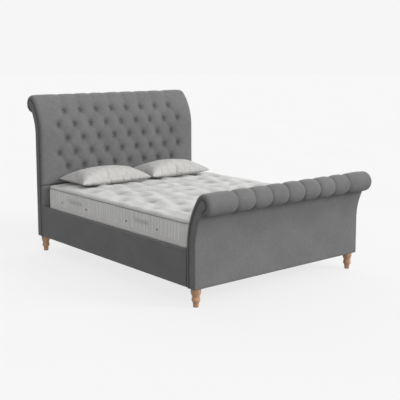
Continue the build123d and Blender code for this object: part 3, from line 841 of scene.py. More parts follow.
@dataclass(frozen=True)
class PadShell:
    """A closed pad on a board, with rounded sides and tucked ends."""

    section: BoardSection
    half: float
    start: float
    stop: float
    thickness: float
    side_round: float
    tuck_start: float = 0.006
    tuck_stop: float = 0.006
    surface: float = 0.0
    inward: int = 1
    crown: float = 0.004
    crown_reach: float = 0.12
    step: float = 0.006
    full_pull: float = 0.029
    pull_power: float = 2.3
    full_tuck: float = 0.009

    def cross(self, fraction: Array) -> Pair:
        """Goes round the pad from one side wall to the other.

        Args:
            fraction: how far round, from zero to one.

        Returns:
            Place across the bed and distance under the surface.
        """
        wall = self.thickness - self.side_round
        arc = self.side_round * math.pi / 2
        whole = 2 * (wall + arc + self.half - self.side_round)
        travelled = fraction * whole
        nearer = np.minimum(travelled, whole - travelled)
        turn = np.clip((nearer - wall) / self.side_round, 0.0, math.pi / 2)
        out = self.half - self.side_round * (1.0 - np.cos(turn)) - np.clip(nearer - wall - arc, 0.0, None)
        under = np.clip(wall - nearer, 0.0, None) + self.side_round * (1.0 - np.sin(turn))
        return np.where(fraction < 0.5, -out, out), under

    def mesh(self, relief: Relief) -> BMesh:
        """Builds the pad.

        Args:
            relief: depth of the surface at each place across and along the run.

        Returns:
            A closed mesh.
        """
        columns = round(2 * (self.half + self.thickness) / self.step)
        rows = round((self.stop - self.start) / self.step)

        def place(across: Array, along: Array) -> Pair:
            """Puts the grid on the board."""
            x, under = self.cross(across)
            run = self.start + along * (self.stop - self.start)
            from_sides = self.half - np.abs(x)
            from_ends = np.minimum(run - self.start, self.stop - run)
            swell = np.clip(np.minimum(from_ends, from_sides) / self.crown_reach, 0.0, 1.0)
            swell = 1.0 - (1.0 - swell) ** 2
            front = np.clip((from_sides - self.side_round * 0.3) / self.side_round, 0.0, 1.0)
            front = smoothed(front)
            tuck = self.tuck_start * ease((run - self.start) / self.tuck_start)
            tuck += self.tuck_stop * ease((self.stop - run) / self.tuck_stop)
            sunk = np.maximum(relief(x, run), 0.0)
            inner = under + front * (sunk - self.crown * swell) + tuck * (1.0 - under / self.thickness)
            inner = np.minimum(inner, self.thickness)
            points = self.section.world(x, run, self.surface + self.inward * inner)
            # painted shade: darker in the dimples and folds, at the tucked ends and on the sides that wrap
            # under
            pulled = (sunk / self.full_pull) ** self.pull_power * front
            pulled += (tuck / self.full_tuck) ** 2 + (under / self.thickness) ** 3
            return points, np.stack([x + np.sign(x) * under, run], axis=1), pulled

        mesh = mapped_grid(columns, rows, place, join_sides=True)
        close_up(mesh)
        return mesh


class Outline:
    """A chain of edges in a board's side plane, drawn by moving and turning its last point."""

    def __init__(self, section: BoardSection, x: float, depth: float, height: float) -> None:
        """Starts at a depth under the face and a height.

        Args:
            section: the board.
            x: place of the side plane.
            depth: distance under the face.
            height: height above the floor.
        """
        self.section = section
        self.mesh = bmesh.new()
        self.x = x
        self.last = self.mesh.verts.new(self.place(depth, height))

    def place(self, u: float, v: float) -> Vector:
        """A point of the side plane in the bed's own frame."""
        return self.section.side_point(u, v, self.x)

    def restart(self, depth: float, height: float) -> None:
        """Goes on from a new point."""
        self.last = self.mesh.verts.new(self.place(depth, height))

    def rise(self, by: float) -> None:
        """Draws straight up."""
        made = bmesh.ops.extrude_vert_indiv(self.mesh, verts=[self.last])
        self.last = made["verts"][0]
        bmesh.ops.translate(self.mesh, verts=[self.last], vec=(0.0, 0.0, by))

    def turn(self, centre: Vector, angle: float, steps: int) -> None:
        """Draws an arc round a centre, outwards over the top."""
        end = spun(self.mesh, [self.last], centre, ACROSS, -self.section.end.value * angle, steps)
        self.last = of_kind(end, bmesh.types.BMVert)[0]


@dataclass(frozen=True)
class ScrollEnd:
    """One scroll-shaped end of a board: a padded facing and the piping round it."""

    section: BoardSection
    side: Side
    outer: float
    cord: float = 0.0048
    groove: float = 0.0015

    @property
    def thickness(self) -> float:
        """How thick the facing is."""
        return 0.012

    @property
    def near(self) -> float:
        """Depth under the face at which the facing starts."""
        return self.section.pad + 0.004

    @property
    def far(self) -> float:
        """Depth under the face at which the facing ends."""
        return self.section.depth - 0.006

    @property
    def bend_centre(self) -> Vector:
        """Centre of the face's bend."""
        return self.section.side_point(self.section.bend_radius, self.section.bend_start)

    @property
    def roll_centre(self) -> Vector:
        """Centre of the roll."""
        return self.section.side_point(self.section.roll_reach, self.section.roll_height)

    def outwards(self, face: bmesh.types.BMFace) -> float:
        """How far a face is from the bed's middle, on this side."""
        return self.side.value * face.calc_center_median().x

    def facing(self) -> BMesh:
        """Builds the padded facing.

        Returns:
            A closed mesh with a crowned outside.
        """
        section = self.section
        x = self.side.value * (self.outer - self.thickness)
        line = Outline(section, x, self.near, section.base)
        first = line.last
        line.rise(section.rise)
        line.turn(self.bend_centre, section.bend_turn, 14)
        line.turn(self.roll_centre, section.roll_turn(self.near, self.far), 40)
        front_end = line.last
        line.restart(self.far, section.base)
        second = line.last
        line.rise(section.rise)
        line.turn(self.bend_centre, section.outside_turn(self.near, self.far), 12)
        mesh = line.mesh
        mesh.edges.new((first, second))
        if (front_end.co - line.last.co).length > 1e-4:
            mesh.edges.new((front_end, line.last))
        weld(mesh, 2e-4)
        bmesh.ops.contextual_create(mesh, geom=mesh.edges)
        made = bmesh.ops.extrude_face_region(mesh, geom=mesh.faces)
        lifted = of_kind(made["geom"], bmesh.types.BMVert)
        bmesh.ops.translate(mesh, verts=lifted, vec=(self.side.value * self.thickness, 0.0, 0.0))
        bmesh.ops.recalc_face_normals(mesh, faces=mesh.faces)
        outside = max(mesh.faces, key=lambda face: (len(face.verts), self.outwards(face)))
        rim = list(outside.edges)
        bmesh.ops.bevel(mesh, geom=rim, offset=0.004, affect="EDGES", segments=4, profile=0.5, material=-1)
        for thickness, rise in ((0.004, 0.0012), (0.006, 0.0011), (0.008, 0.0005)):
            outside = max(mesh.faces, key=lambda face: self.outwards(face) * (len(face.verts) > 8))
            bmesh.ops.inset_region(
                mesh, faces=[outside], thickness=thickness, depth=rise, use_even_offset=True
            )
        return mesh

    def piping(self) -> BMesh:
        """Builds the covered cord that follows the pad's edge.

        Returns:
            A closed tube up the face, round the bend and over the roll.
        """
        section = self.section
        depth = section.pad + 0.002
        mesh = bmesh.new()
        x = self.side.value * (self.outer - self.groove)
        place = Matrix.Translation(section.side_point(depth, section.base, x))
        ring = bmesh.ops.create_circle(mesh, cap_ends=False, segments=10, radius=self.cord, matrix=place)
        edges = list({edge for vert in ring["verts"] for edge in vert.link_edges})
        made = bmesh.ops.extrude_edge_only(mesh, edges=edges)
        lifted = of_kind(made["geom"], bmesh.types.BMVert)
        bmesh.ops.translate(mesh, verts=lifted, vec=(0.0, 0.0, section.rise))
        edges = of_kind(made["geom"], bmesh.types.BMEdge)
        edges = [edge for edge in edges if all(vert in lifted for vert in edge.verts)]
        turns = (
            (self.bend_centre, section.bend_turn, 18),
            (self.roll_centre, section.roll_turn(depth, section.depth), 44),
        )
        for centre, angle, steps in turns:
            verts = list({vert for edge in edges for vert in edge.verts})
            end = spun(mesh, [*verts, *edges], centre, ACROSS, -section.end.value * angle, steps)
            edges = of_kind(end, bmesh.types.BMEdge)
        weld(mesh)
        close_up(mesh)
        return mesh


@dataclass(frozen=True)
class Button:
    """A cloth-covered button: a dome with a rounded rim."""

    radius: float
    height: float
    around: int = 16
    arc_steps: int = 5
    rim_angle: float = math.radians(62.0)

    def shape(self) -> bpy.types.Mesh:
        """Turns the button's profile about its own axis.

        Returns:
            A closed mesh, its dome along the third axis.
        """
        shoulder = self.height * 0.55
        cap = self.radius / math.sin(self.rim_angle)
        squash = (self.height - shoulder) / (cap * (1.0 - math.cos(self.rim_angle)))
        profile = [Vector((self.radius * 0.8, 0.0, 0.0)), Vector((self.radius, 0.0, shoulder * 0.45))]
        for index in range(self.arc_steps, -1, -1):
            angle = self.rim_angle * index / self.arc_steps
            lift = cap * (math.cos(angle) - math.cos(self.rim_angle)) * squash
            profile.append(Vector((cap * math.sin(angle), 0.0, shoulder + lift)))
        mesh = bmesh.new()
        verts = [mesh.verts.new(point) for point in profile]
        edges = [mesh.edges.new(pair) for pair in zip(verts, verts[1:])]
        spun(mesh, [*verts, *edges], ORIGIN, UP, math.tau, self.around, merge=True)
        weld(mesh)
        close_up(mesh)
        return as_data(mesh, "button_shape")


@dataclass(frozen=True)
class Eyelet:
    """A rolled metal ring."""

    outer: float
    hole: float
    around: int = 20
    about: int = 8

    def shape(self) -> bpy.types.Mesh:
        """Turns a round section about the ring's own axis.

        Returns:
            A closed ring, its axis along the third axis.
        """
        thick = (self.outer - self.hole) / 2
        mesh = bmesh.new()
        place = Matrix.Translation((self.hole + thick, 0.0, 0.0)) @ Matrix.Rotation(math.pi / 2, 4, "X")
        ring = bmesh.ops.create_circle(mesh, cap_ends=False, segments=self.about, radius=thick, matrix=place)
        edges = list({edge for vert in ring["verts"] for edge in vert.link_edges})
        spun(mesh, [*ring["verts"], *edges], ORIGIN, UP, math.tau, self.around, merge=True)
        weld(mesh)
        bmesh.ops.scale(mesh, vec=(1.0, 1.0, 0.6), verts=mesh.verts)
        bmesh.ops.recalc_face_normals(mesh, faces=mesh.faces)
        return as_data(mesh, "eyelet_shape")


def repeated(shape: bpy.types.Mesh, places: Iterable[Matrix]) -> BMesh:
    """Sets copies of one shape at several places.

    Args:
        shape: what is copied; it is removed afterwards.
        places: where each copy goes.

    Returns:
        One mesh with every copy.
    """
    mesh = bmesh.new()
    for place in places:
        known = len(mesh.verts)
        mesh.from_mesh(shape)
        mesh.verts.ensure_lookup_table()
        bmesh.ops.transform(mesh, matrix=place, verts=mesh.verts[known:])
    bpy.data.meshes.remove(shape)
    return mesh


# ---- Headboard and footboard ---------------------------------------------------------------------------


@dataclass(frozen=True)
class Board:
    """What both boards share: outer panel, scroll ends and how their cloth is rounded."""

    name: str
    section: BoardSection
    wardrobe: Wardrobe
    half: float
    side_round: float = 0.024
    panel_crown: float = 0.004
    panel_thickness: float = 0.014

    def pad(
        self, start: float, stop: float, tucks: tuple[float, float], crown: float, step: float,
        crown_reach: float = 0.12,
    ) -> PadShell:
        """Plans a pad on the inside of the board.

        Args:
            start: run at which it starts.
            stop: run at which it stops.
            tucks: how far its two ends are tucked in.
            crown: how far its middle swells.
            step: size of its squares.
            crown_reach: how far from its edges the swell is full.

        Returns:
            The pad, ready to mesh.
        """
        return PadShell(
            section=self.section, half=self.half, start=start, stop=stop, thickness=self.section.pad,
            side_round=self.side_round, tuck_start=tucks[0], tuck_stop=tucks[1], crown=crown,
            crown_reach=crown_reach, step=step,
        )

    def cover(self, shell: PadShell, relief: Relief, name: str, node: str) -> None:
        """Makes a pad's cover, which takes the place of a solid of the frame."""
        pad = as_piece(shell.mesh(relief), name, self.wardrobe.upholstery, 60.0)
        declare(pad, "bed_frame", [node])

    def outer_panel(self) -> None:
        """Makes the padded panel on the outside of the board."""
        node = f"{self.name}_outer_panel"
        section = self.section
        stop = section.rise + section.bend_radius * section.outside_turn(0.0, section.depth)
        shell = PadShell(
            section=section, half=self.half, start=0.0, stop=stop, thickness=self.panel_thickness,
            side_round=0.009, tuck_start=0.004, tuck_stop=0.003, surface=section.depth, inward=-1,
            crown=self.panel_crown, crown_reach=0.16, step=0.011,
        )

        def relief(x: Array, run: Array) -> Array:
            """Slight unevenness of the stretched cloth."""
            return waviness(x, run, 5, 0.35, 0.0009) + waviness(x, run, 6, 0.09, 0.00025)

        piece = as_piece(shell.mesh(relief), f"{self.name}_outer_cover", self.wardrobe.upholstery, 50.0)
        declare(piece, "bed_frame", [node])

    def scroll_ends(self) -> None:
        """Makes both facings and the piping round them."""
        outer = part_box(f"{self.name}_facings")[1].x
        for side in Side:
            end = ScrollEnd(self.section, side, outer)
            label = side.name.lower()
            facing = as_piece(end.facing(), f"{self.name}_facing_{label}", self.wardrobe.upholstery_cut, 35.0)
            declare(facing, "bed_frame", [f"{self.name}_facings"])
            piping = as_piece(end.piping(), f"{self.name}_piping_{label}", self.wardrobe.piping, 60.0)
            declare(piping, "bed_frame", [f"{self.name}_piping"])


@dataclass(frozen=True)
class Headboard(Board):
    """The high, buttoned end of the bed."""

    button_radius: float = 0.0125
    button_height: float = 0.008
    button_sink: float = 0.0225
    spacing: float = 0.1647
    rise_between: float = 0.126
    top_row: float = 1.238
    rows: tuple[int, ...] = (8, 9, 8, 9, 8)
    pleat_over: float = 0.34

    def button_rows(self) -> list[tuple[float, list[float]]]:
        """Where the buttons are.

        Returns:
            For each row from the top, its run up the board and the places across it.
        """
        rows = []
        for index, count in enumerate(self.rows):
            run = self.section.run_at(self.top_row - index * self.rise_between)
            rows.append((run, [(place - (count - 1) / 2) * self.spacing for place in range(count)]))
        return rows

    def tufting(self, seam: float) -> Tufting:
        """Plans the buttons and the folds between them.

        Args:
            seam: run of the seam under the buttoned pad.

        Returns:
            The pattern of points and folds.
        """
        rows = self.button_rows()
        points = tuple((x, run) for run, places in rows for x in places)
        folds = []
        for (run, places), (next_run, next_places) in zip(rows, rows[1:]):
            for x in places:
                for next_x in next_places:
                    if abs(x - next_x) < self.spacing * 0.75:
                        folds.append(Fold((x, run), (next_x, next_run)))
        top_run, top_places = rows[0]
        folds += [Fold((x, top_run), (x, top_run + self.pleat_over), 0.85) for x in top_places]
        low_run, low_places = rows[-1]
        folds += [Fold((x, low_run), (x, seam), 0.7) for x in low_places]
        return Tufting(
            points, tuple(folds), point_depth=0.023, point_reach=0.026, fold_depth=0.009, fold_reach=0.030,
            point_tall=1.25,
        )

    def buttoned_pad(self) -> None:
        """Makes the deep-buttoned pad that wraps the roll."""
        section = self.section
        seam = section.run_at(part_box("headboard_lower_pad")[1].z)
        shell = self.pad(seam, section.roll_stop, (0.009, 0.008), 0.006, 0.0058, crown_reach=0.10)
        pattern = self.tufting(seam)
        over = self.button_rows()[0][0]

        def relief(x: Array, run: Array) -> Array:
            """Buttons, folds and the cloth's own unevenness."""
            fading = 1.0 - 0.75 * np.clip((run - over) / self.pleat_over, 0.0, 1.0) ** 1.5
            pulled = pattern.depth(x, run) * np.where(run > over, fading, 1.0)
            return pulled + waviness(x, run, 11, 0.07, 0.0006) + waviness(x, run, 12, 0.022, 0.0002)

        self.cover(shell, relief, "headboard_buttoned_cover", "headboard_buttoned_pad")

    def lower_pad(self) -> None:
        """Makes the plain pad below the seam."""
        section = self.section
        seam = section.run_at(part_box("headboard_lower_pad")[1].z)
        shell = self.pad(0.0, seam, (0.006, 0.009), 0.004, 0.010)

        def relief(x: Array, run: Array) -> Array:
            """Slight unevenness of the stretched cloth."""
            return waviness(x, run, 21, 0.2, 0.0008)

        self.cover(shell, relief, "headboard_lower_cover", "headboard_lower_pad")

    def buttons(self) -> None:
        """Makes every covered button, square to the pad."""
        section = self.section
        places = []
        depth = np.array([self.button_sink + self.button_height])
        for run, across in self.button_rows():
            angle = float(section.angle(np.array([run]))[0])
            for x in across:
                point = section.world(np.array([x]), np.array([run]), depth)[0]
                turn = Matrix.Rotation(math.pi / 2 - angle, 4, "X")
                places.append(Matrix.Translation(Vector(point)) @ turn)
        mesh = repeated(Button(self.button_radius, self.button_height).shape(), places)
        piece = as_piece(mesh, "headboard_covered_buttons", self.wardrobe.upholstery_cut, 50.0)
        declare(piece, "bed_frame", ["headboard_buttons"])

    def build(self) -> None:
        """Makes the whole headboard."""
        self.buttoned_pad()
        self.lower_pad()
        self.buttons()
        self.outer_panel()
        self.scroll_ends()


@dataclass(frozen=True)
class Footboard(Board):
    """The low, fluted end of the bed."""

    flutes: int = 8
    spacing: float = 0.1647
    flute_depth: float = 0.007
    flute_reach: float = 0.007
    valley_depth: float = 0.009
    valley_reach: float = 0.034

    def fluted_pad(self) -> None:
        """Makes the pad with sewn flutes round the roll."""
        section = self.section
        shell = self.pad(0.0, section.roll_stop, (0.006, 0.010), 0.005, 0.0062)

        def relief(x: Array, run: Array) -> Array:
            """Flutes that start at the bend, and the cloth's own unevenness."""
            crease, valley = np.ones_like(x), np.ones_like(x)
            for index in range(self.flutes):
                away = np.abs(x - (index - (self.flutes - 1) / 2) * self.spacing)
                crease *= 1.0 - np.exp(-((away / self.flute_reach) ** 0.9))
                valley *= 1.0 - np.exp(-((away / self.valley_reach) ** 1.3))
            shown = np.clip((run - section.rise + 0.05) / 0.22, 0.0, 1.0)
            shown = smoothed(shown)
            sewn = self.flute_depth * (1.0 - crease) + self.valley_depth * (1.0 - valley)
            return sewn * shown + waviness(x, run, 31, 0.08, 0.0006) + waviness(x, run, 32, 0.025, 0.0002)

        self.cover(shell, relief, "footboard_fluted_cover", "footboard_fluted_pad")

    def build(self) -> None:
        """Makes the whole footboard."""
        self.fluted_pad()
        self.outer_panel()
        self.scroll_ends()


# ---- Side rails ----------------------------------------------------------------------------------------


def rounded_line(corners: Sequence[tuple[float, float, float]], step: float = 0.004) -> Array:
    """An open line with rounded corners.

    Args:
        corners: for each corner, its two coordinates and its radius.
        step: about how far apart points on the rounds are.

    Returns:
        Points along the line.
    """
    points = [np.array(corners[0][:2])]
    for before, corner, after in zip(corners, corners[1:], corners[2:]):
        middle = np.array(corner[:2])
        radius = corner[2]
        inward = np.array(before[:2]) - middle
        onward = np.array(after[:2]) - middle
        inward = inward / np.linalg.norm(inward)
        onward = onward / np.linalg.norm(onward)
        half = math.acos(float(np.clip(inward @ onward, -1.0, 1.0))) / 2
        start = middle + inward * radius / math.tan(half)
        stop = middle + onward * radius / math.tan(half)
        centre = middle + (inward + onward) / np.linalg.norm(inward + onward) * radius / math.sin(half)
        first = start - centre
        last = stop - centre
        sweep = math.pi - 2 * half
        steps = max(3, math.ceil(radius * sweep / step))
        for index in range(steps + 1):
            share = index / steps
            turned = first * math.sin((1 - share) * sweep) + last * math.sin(share * sweep)
            points.append(centre + turned / math.sin(sweep))
    points.append(np.array(corners[-1][:2]))
    return np.array(points)


@dataclass(frozen=True)
class SideRail:
    """A long padded rail."""

    side: Side
    wardrobe: Wardrobe
    top_round: float = 0.007
    low_round: float = 0.006
    crown: float = 0.004
    step: float = 0.012

    def build(self) -> None:
        """Makes the rail's cover and the padding under it as one piece."""
        label = self.side.name.lower()
        low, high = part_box(f"rail_cover_{label}")
        inner, outer = sorted((abs(low.x), abs(high.x)))
        hidden = inner + 0.002
        board_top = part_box(f"rail_board_{label}")[1].z
        line = rounded_line(
            (
                (hidden, low.z + 0.001, 0.0),
                (outer, low.z, self.low_round),
                (outer, high.z, self.top_round),
                (inner, high.z, self.low_round * 0.9),
                (inner, board_top + 0.001, 0.0006),
                (hidden, board_top - 0.002, 0.0),
            )
        )
        stretches = np.linalg.norm(np.diff(line, axis=0), axis=1)
        travelled = np.concatenate([[0.0], np.cumsum(stretches)])
        length = high.y - low.y
        columns = round(travelled[-1] / 0.005)

        def place(around: Array, along: Array) -> Pair:
            """Wraps the cloth round the rail."""
            here = around * travelled[-1]
            x = np.interp(here, travelled, line[:, 0])
            z = np.interp(here, travelled, line[:, 1])
            y = low.y + along * length
            from_ends = np.minimum(y - low.y, high.y - y)
            hold = np.clip(from_ends / 0.03, 0.0, 1.0)
            bulge = np.sin(np.clip((z - low.z) / (high.z - low.z), 0.0, 1.0) * math.pi) ** 0.6
            crown = self.crown + waviness(y, z, 41 + self.side.value, 0.3, 0.0007)
            outward = (x > outer - 0.003) * bulge * crown * hold
            upward = (z > high.z - 0.003) * waviness(x, y, 45, 0.25, 0.0006) * hold
            points = np.stack([self.side.value * (x + outward), y, z + upward], axis=1)
            # painted shade: the rail's top darkened towards the mattress, where it lies in shade
            inwards = np.clip((outer - x) / 0.02, 0.0, 0.8)
            return points, np.stack([y, here], axis=1), inwards * (z > high.z - 0.01)

        mesh = mapped_grid(columns, round(length / self.step), place, join_sides=True)
        close_up(mesh)
        piece = as_piece(mesh, f"rail_padded_cover_{label}", self.wardrobe.upholstery, 50.0)
        declare(piece, "bed_frame", [f"rail_cover_{label}", f"rail_foam_{label}"])


# ---- Mattress ------------------------------------------------------------------------------------------


@dataclass(frozen=True)
class RoundedPlan:
    """A rectangle with rounded corners, seen from above."""

    half_x: float
    half_y: float
    corner: float

    @property
    def girth(self) -> float:
        """Length of the outline."""
        return 4 * (self.half_x + self.half_y - 2 * self.corner) + math.tau * self.corner

    def rim(self, travelled: Array) -> Pair:
        """Goes round the outline, from the middle of the right-hand side.

        Args:
            travelled: distances along the outline.

        Returns:
            Points on it, and the outward directions there, each with two columns.
        """
        short, long = self.half_x - self.corner, self.half_y - self.corner
        arc = self.corner * math.pi / 2
        centres = ((short, long), (-short, long), (-short, -long), (short, -long))
        runs = (long, 2 * short, 2 * long, 2 * short, long)
        points = np.zeros((len(travelled), 2))
        outward = np.zeros((len(travelled), 2))
        here = np.mod(travelled, self.girth)
        for index, run in enumerate(runs):
            facing = index * math.pi / 2
            normal = np.array([math.cos(facing), math.sin(facing)])
            onward = np.array([-normal[1], normal[0]])
            reach = self.half_x if index % 2 == 0 else self.half_y
            begin = 0.0 if index == 0 else -run / 2 if index < 4 else -long
            on = (here >= 0) & (here <= run)
            points[on] = normal * reach + onward * (begin + here[on])[:, None]
            outward[on] = normal
            here = here - run
            if index < 4:
                on = (here > 0) & (here < arc)
                turned = facing + here[on] / self.corner
                outward[on] = np.stack([np.cos(turned), np.sin(turned)], axis=1)
                points[on] = np.array(centres[index]) + self.corner * outward[on]
                here = here - arc
        return points, outward

    def fill(self, x: Array, y: Array) -> tuple[Array, Array, Array, Array]:
        """Rounds the corners of a full rectangle.

        Args:
            x: places across, up to half_x.
            y: places along, up to half_y.

        Returns:
            The moved places, their distance from the outline, and the outward direction.
        """
        past_x = np.clip(np.abs(x) - (self.half_x - self.corner), 0.0, None)
        past_y = np.clip(np.abs(y) - (self.half_y - self.corner), 0.0, None)
        size = np.hypot(past_x, past_y)
        shrink = np.where(size > 1e-9, np.maximum(past_x, past_y) / np.maximum(size, 1e-9), 1.0)
        new_x = np.sign(x) * (np.abs(x) - past_x + past_x * shrink)
        new_y = np.sign(y) * (np.abs(y) - past_y + past_y * shrink)
        in_corner = (past_x > 0) & (past_y > 0)
        beside = self.half_x - np.abs(x) < self.half_y - np.abs(y)
        from_sides = np.minimum(self.half_x - np.abs(x), self.half_y - np.abs(y))
        inside = np.where(in_corner, self.corner - np.maximum(past_x, past_y), from_sides)
        out_x = np.where(in_corner, past_x / np.maximum(size, 1e-9), np.where(beside, 1.0, 0.0)) * np.sign(x)
        out_y = np.where(in_corner, past_y / np.maximum(size, 1e-9), np.where(beside, 0.0, 1.0)) * np.sign(y)
        return np.stack([new_x, new_y], axis=1), inside, out_x, out_y


@dataclass(frozen=True)
class Mattress:
    """A pocket-sprung mattress with a tufted top and a quilted border."""

    wardrobe: Wardrobe
    corner: float = 0.060
    edge_round: float = 0.040
    tuft_rows: int = 9
    tufts_across: int = 7
    tuft_depth: float = 0.018
    rib_pitch: float = 0.034
    rib_depth: float = 0.0044
    plain_band: float = 0.066
    tape: float = 0.0032
    dome: float = 0.009
    least_loft: float = 0.002
    relief_fade: float = 0.12
    full_pull: float = 0.028
    pull_power: float = 1.2
    border_thickness: float = 0.012
    rib_reach: float = 0.0075
    seam_reach: float = 0.004
    vent_places: tuple[float, ...] = (0.742, 0.354, -0.228, -0.623)

    def plan(self) -> RoundedPlan:
        """The mattress's outline, without its tapes."""
        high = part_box("mattress_border")[1]
        return RoundedPlan(high.x, high.y, self.corner)

    def tuft_places(self) -> list[tuple[float, float]]:
        """Where the tufts are, in staggered rows."""
        plan = self.plan()
        pitch_x = 2 * plan.half_x / self.tufts_across
        pitch_y = 2 * plan.half_y / self.tuft_rows
        places = []
        for row in range(self.tuft_rows):
            count = self.tufts_across - row % 2
            y = (row - (self.tuft_rows - 1) / 2) * pitch_y
            places += [((column - (count - 1) / 2) * pitch_x, y) for column in range(count)]
        return places

    def loft(self, x: Array, y: Array, inside: Array, rise: float, relief: Relief) -> Pair:
        """How thick a soft panel is.

        Args:
            x: places across.
            y: places along.
            inside: how far the places are from the panel's edge.
            rise: its thickness at its highest.
            relief: depth of its soft side.

        Returns:
            The thickness, and how far the cloth is pulled in.
        """
        plan = self.plan()
        edge = np.sin(np.clip(inside / self.edge_round, 0.0, math.pi / 2))
        dome = self.dome * (1.0 - (x / plan.half_x) ** 4) * (1.0 - (y / plan.half_y) ** 4)
        sunk = relief(x, y) * np.clip(inside / self.relief_fade, 0.0, 1.0)
        height = (rise - self.dome) * edge + np.clip(dome, 0.0, None) - sunk
        return np.maximum(height, self.least_loft * edge), sunk

    def panel(self, base: float, top: float, upward: int, relief: Relief, step: float) -> BMesh:
        """Makes a soft panel with a rounded edge, flat on its other side.

        Args:
            base: height of the flat side.
            top: height of the soft side at its highest.
            upward: one for a top, minus one for an underside.
            relief: depth of the soft side at each place.
            step: size of its squares.

        Returns:
            A closed mesh.
        """
        plan = self.plan()
        rise = abs(top - base)
        gain = self.edge_round * (math.pi / 2 - 1.0)
        wide = RoundedPlan(plan.half_x + gain, plan.half_y + gain, plan.corner + gain)

        def place(across: Array, along: Array) -> Pair:
            """Lays the panel over its filling."""
            flat_x = (across - 0.5) * 2 * wide.half_x
            flat_y = (along - 0.5) * 2 * wide.half_y
            points, inside, out_x, out_y = wide.fill(flat_x, flat_y)
            angle = np.clip(inside / self.edge_round, 0.0, math.pi / 2)
            drawn_in = -(gain + self.edge_round * (1.0 - np.cos(angle)) - inside)
            shift = np.where(inside < self.edge_round * math.pi / 2, drawn_in, 0.0)
            x = points[:, 0] + out_x * shift
            y = points[:, 1] + out_y * shift
            height, sunk = self.loft(x, y, inside, rise, relief)
            laid = np.stack([flat_x, flat_y], axis=1)
            # painted shade: the ticking darkened in its tufts and folds
            pulled = (np.clip(sunk, 0.0, None) / self.full_pull) ** self.pull_power
            return np.stack([x, y, base + upward * height], axis=1), laid, pulled

        mesh = mapped_grid(round(2 * wide.half_x / step), round(2 * wide.half_y / step), place)
        close_up(mesh)
        return mesh

    def top_relief(self) -> Relief:
        """Plans the dimples, the folds beside them and the ticking's unevenness.

        Returns:
            The depth of the top at each place.
        """
        places = self.tuft_places()
        pitch = 2 * self.plan().half_x / self.tufts_across
        folds = tuple(Fold((x - pitch * 0.2, y), (x + pitch * 0.2, y), 0.6) for x, y in places)
        pattern = Tufting(
            tuple(places), folds, point_depth=self.tuft_depth, point_reach=0.048, fold_depth=0.009,
            fold_reach=0.060, fold_power=1.5, point_power=1.5,
        )

        def relief(x: Array, y: Array) -> Array:
            """Tufts and the ticking's unevenness."""
            return pattern.depth(x, y) + waviness(x, y, 51, 0.15, 0.0060) + waviness(x, y, 52, 0.05, 0.0007)

        return relief

    def tufted_top(self) -> None:
        """Makes the top, pulled down at its tufts."""
        low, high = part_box("mattress_quilted_top")
        mesh = self.panel(low.z, high.z, 1, self.top_relief(), 0.0095)
        piece = as_piece(mesh, "mattress_tufted_top", self.wardrobe.ticking, 60.0)
        declare(piece, "mattress", ["mattress_quilted_top"])

    def tufts(self) -> None:
        """Makes the wool rosette at every tuft."""
        low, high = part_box("mattress_quilted_top")
        plan = self.plan()
        x, y = np.array(self.tuft_places()).T
        inside = np.minimum(plan.half_x - np.abs(x), plan.half_y - np.abs(y))
        height, _ = self.loft(x, y, inside, high.z - low.z, self.top_relief())
        shape = Button(radius=0.011, height=0.005, around=14).shape()
        places = [Matrix.Translation(place) for place in zip(x, y, low.z + height)]
        piece = as_piece(repeated(shape, places), "mattress_wool_tufts", self.wardrobe.tuft, 50.0)
        declare(piece, "mattress", ["mattress_tufts"])

    def border(self) -> None:
        """Makes the border: sewn ribs above a plain band."""
        low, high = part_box("mattress_border")
        plan = self.plan()
        thickness = self.border_thickness
        chance = np.random.default_rng(7)
        count = round(plan.girth / self.rib_pitch)
        marks = (np.arange(count) + chance.uniform(-0.26, 0.26, count)) * plan.girth / count
        wall = high.z - low.z - 0.002
        whole = 2 * (wall + thickness)
        seam = low.z + self.plain_band

        def place(around: Array, up: Array) -> Pair:
            """Wraps the border round the mattress."""
            travelled = around * plan.girth
            points, outward = plan.rim(travelled)
            here = up * whole
            z = low.z + 0.001 + np.clip(here, 0.0, wall) - np.clip(here - wall - thickness, 0.0, wall)
            depth = np.clip(here - wall, 0.0, thickness)
            depth -= np.clip(here - 2 * wall - thickness, 0.0, thickness)
            nearest = np.abs(travelled[:, None] - marks[None, :])
            nearest = np.minimum(nearest, plan.girth - nearest).min(axis=1)
            ribs = np.exp(-((nearest / self.rib_reach) ** 1.2))
            ribbed = np.clip((z - seam) / 0.01, 0.0, 1.0)
            seam_pull = np.exp(-(((z - seam) / self.seam_reach) ** 2))
            edges = np.minimum(z - low.z, high.z - z) / (high.z - low.z)
            swell = 0.0035 * np.clip(edges * 5.0, 0.0, 1.0)
            swell = swell - self.rib_depth * ribs * ribbed - 0.003 * seam_pull
            swell += waviness(travelled, z, 61, 0.16, 0.0008)
            out = np.where(depth > 0.001, -depth, np.where(edges < 0.006, 0.0, swell))
            x = points[:, 0] + outward[:, 0] * out
            y = points[:, 1] + outward[:, 1] * out
            # painted shade: the border darkened along its ribs and its seam
            pulled = np.where(depth > 0.001, 0.0, 0.3 * ribs * ribbed + 0.35 * seam_pull)
            return np.stack([x, y, z], axis=1), np.stack([travelled, here], axis=1), pulled

        mesh = mapped_grid(round(plan.girth / 0.0045), 56, place)
        weld(mesh)
        close_up(mesh)
        piece = as_piece(mesh, "mattress_quilted_border", self.wardrobe.border, 60.0)
        declare(piece, "mattress", ["mattress_border"])

    def tapes(self) -> None:
        """Makes the taped edges at the top and the bottom of the border."""
        low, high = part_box("mattress_piping")
        plan = self.plan()
        for label, height in (("upper", high.z - self.tape), ("lower", low.z + self.tape)):

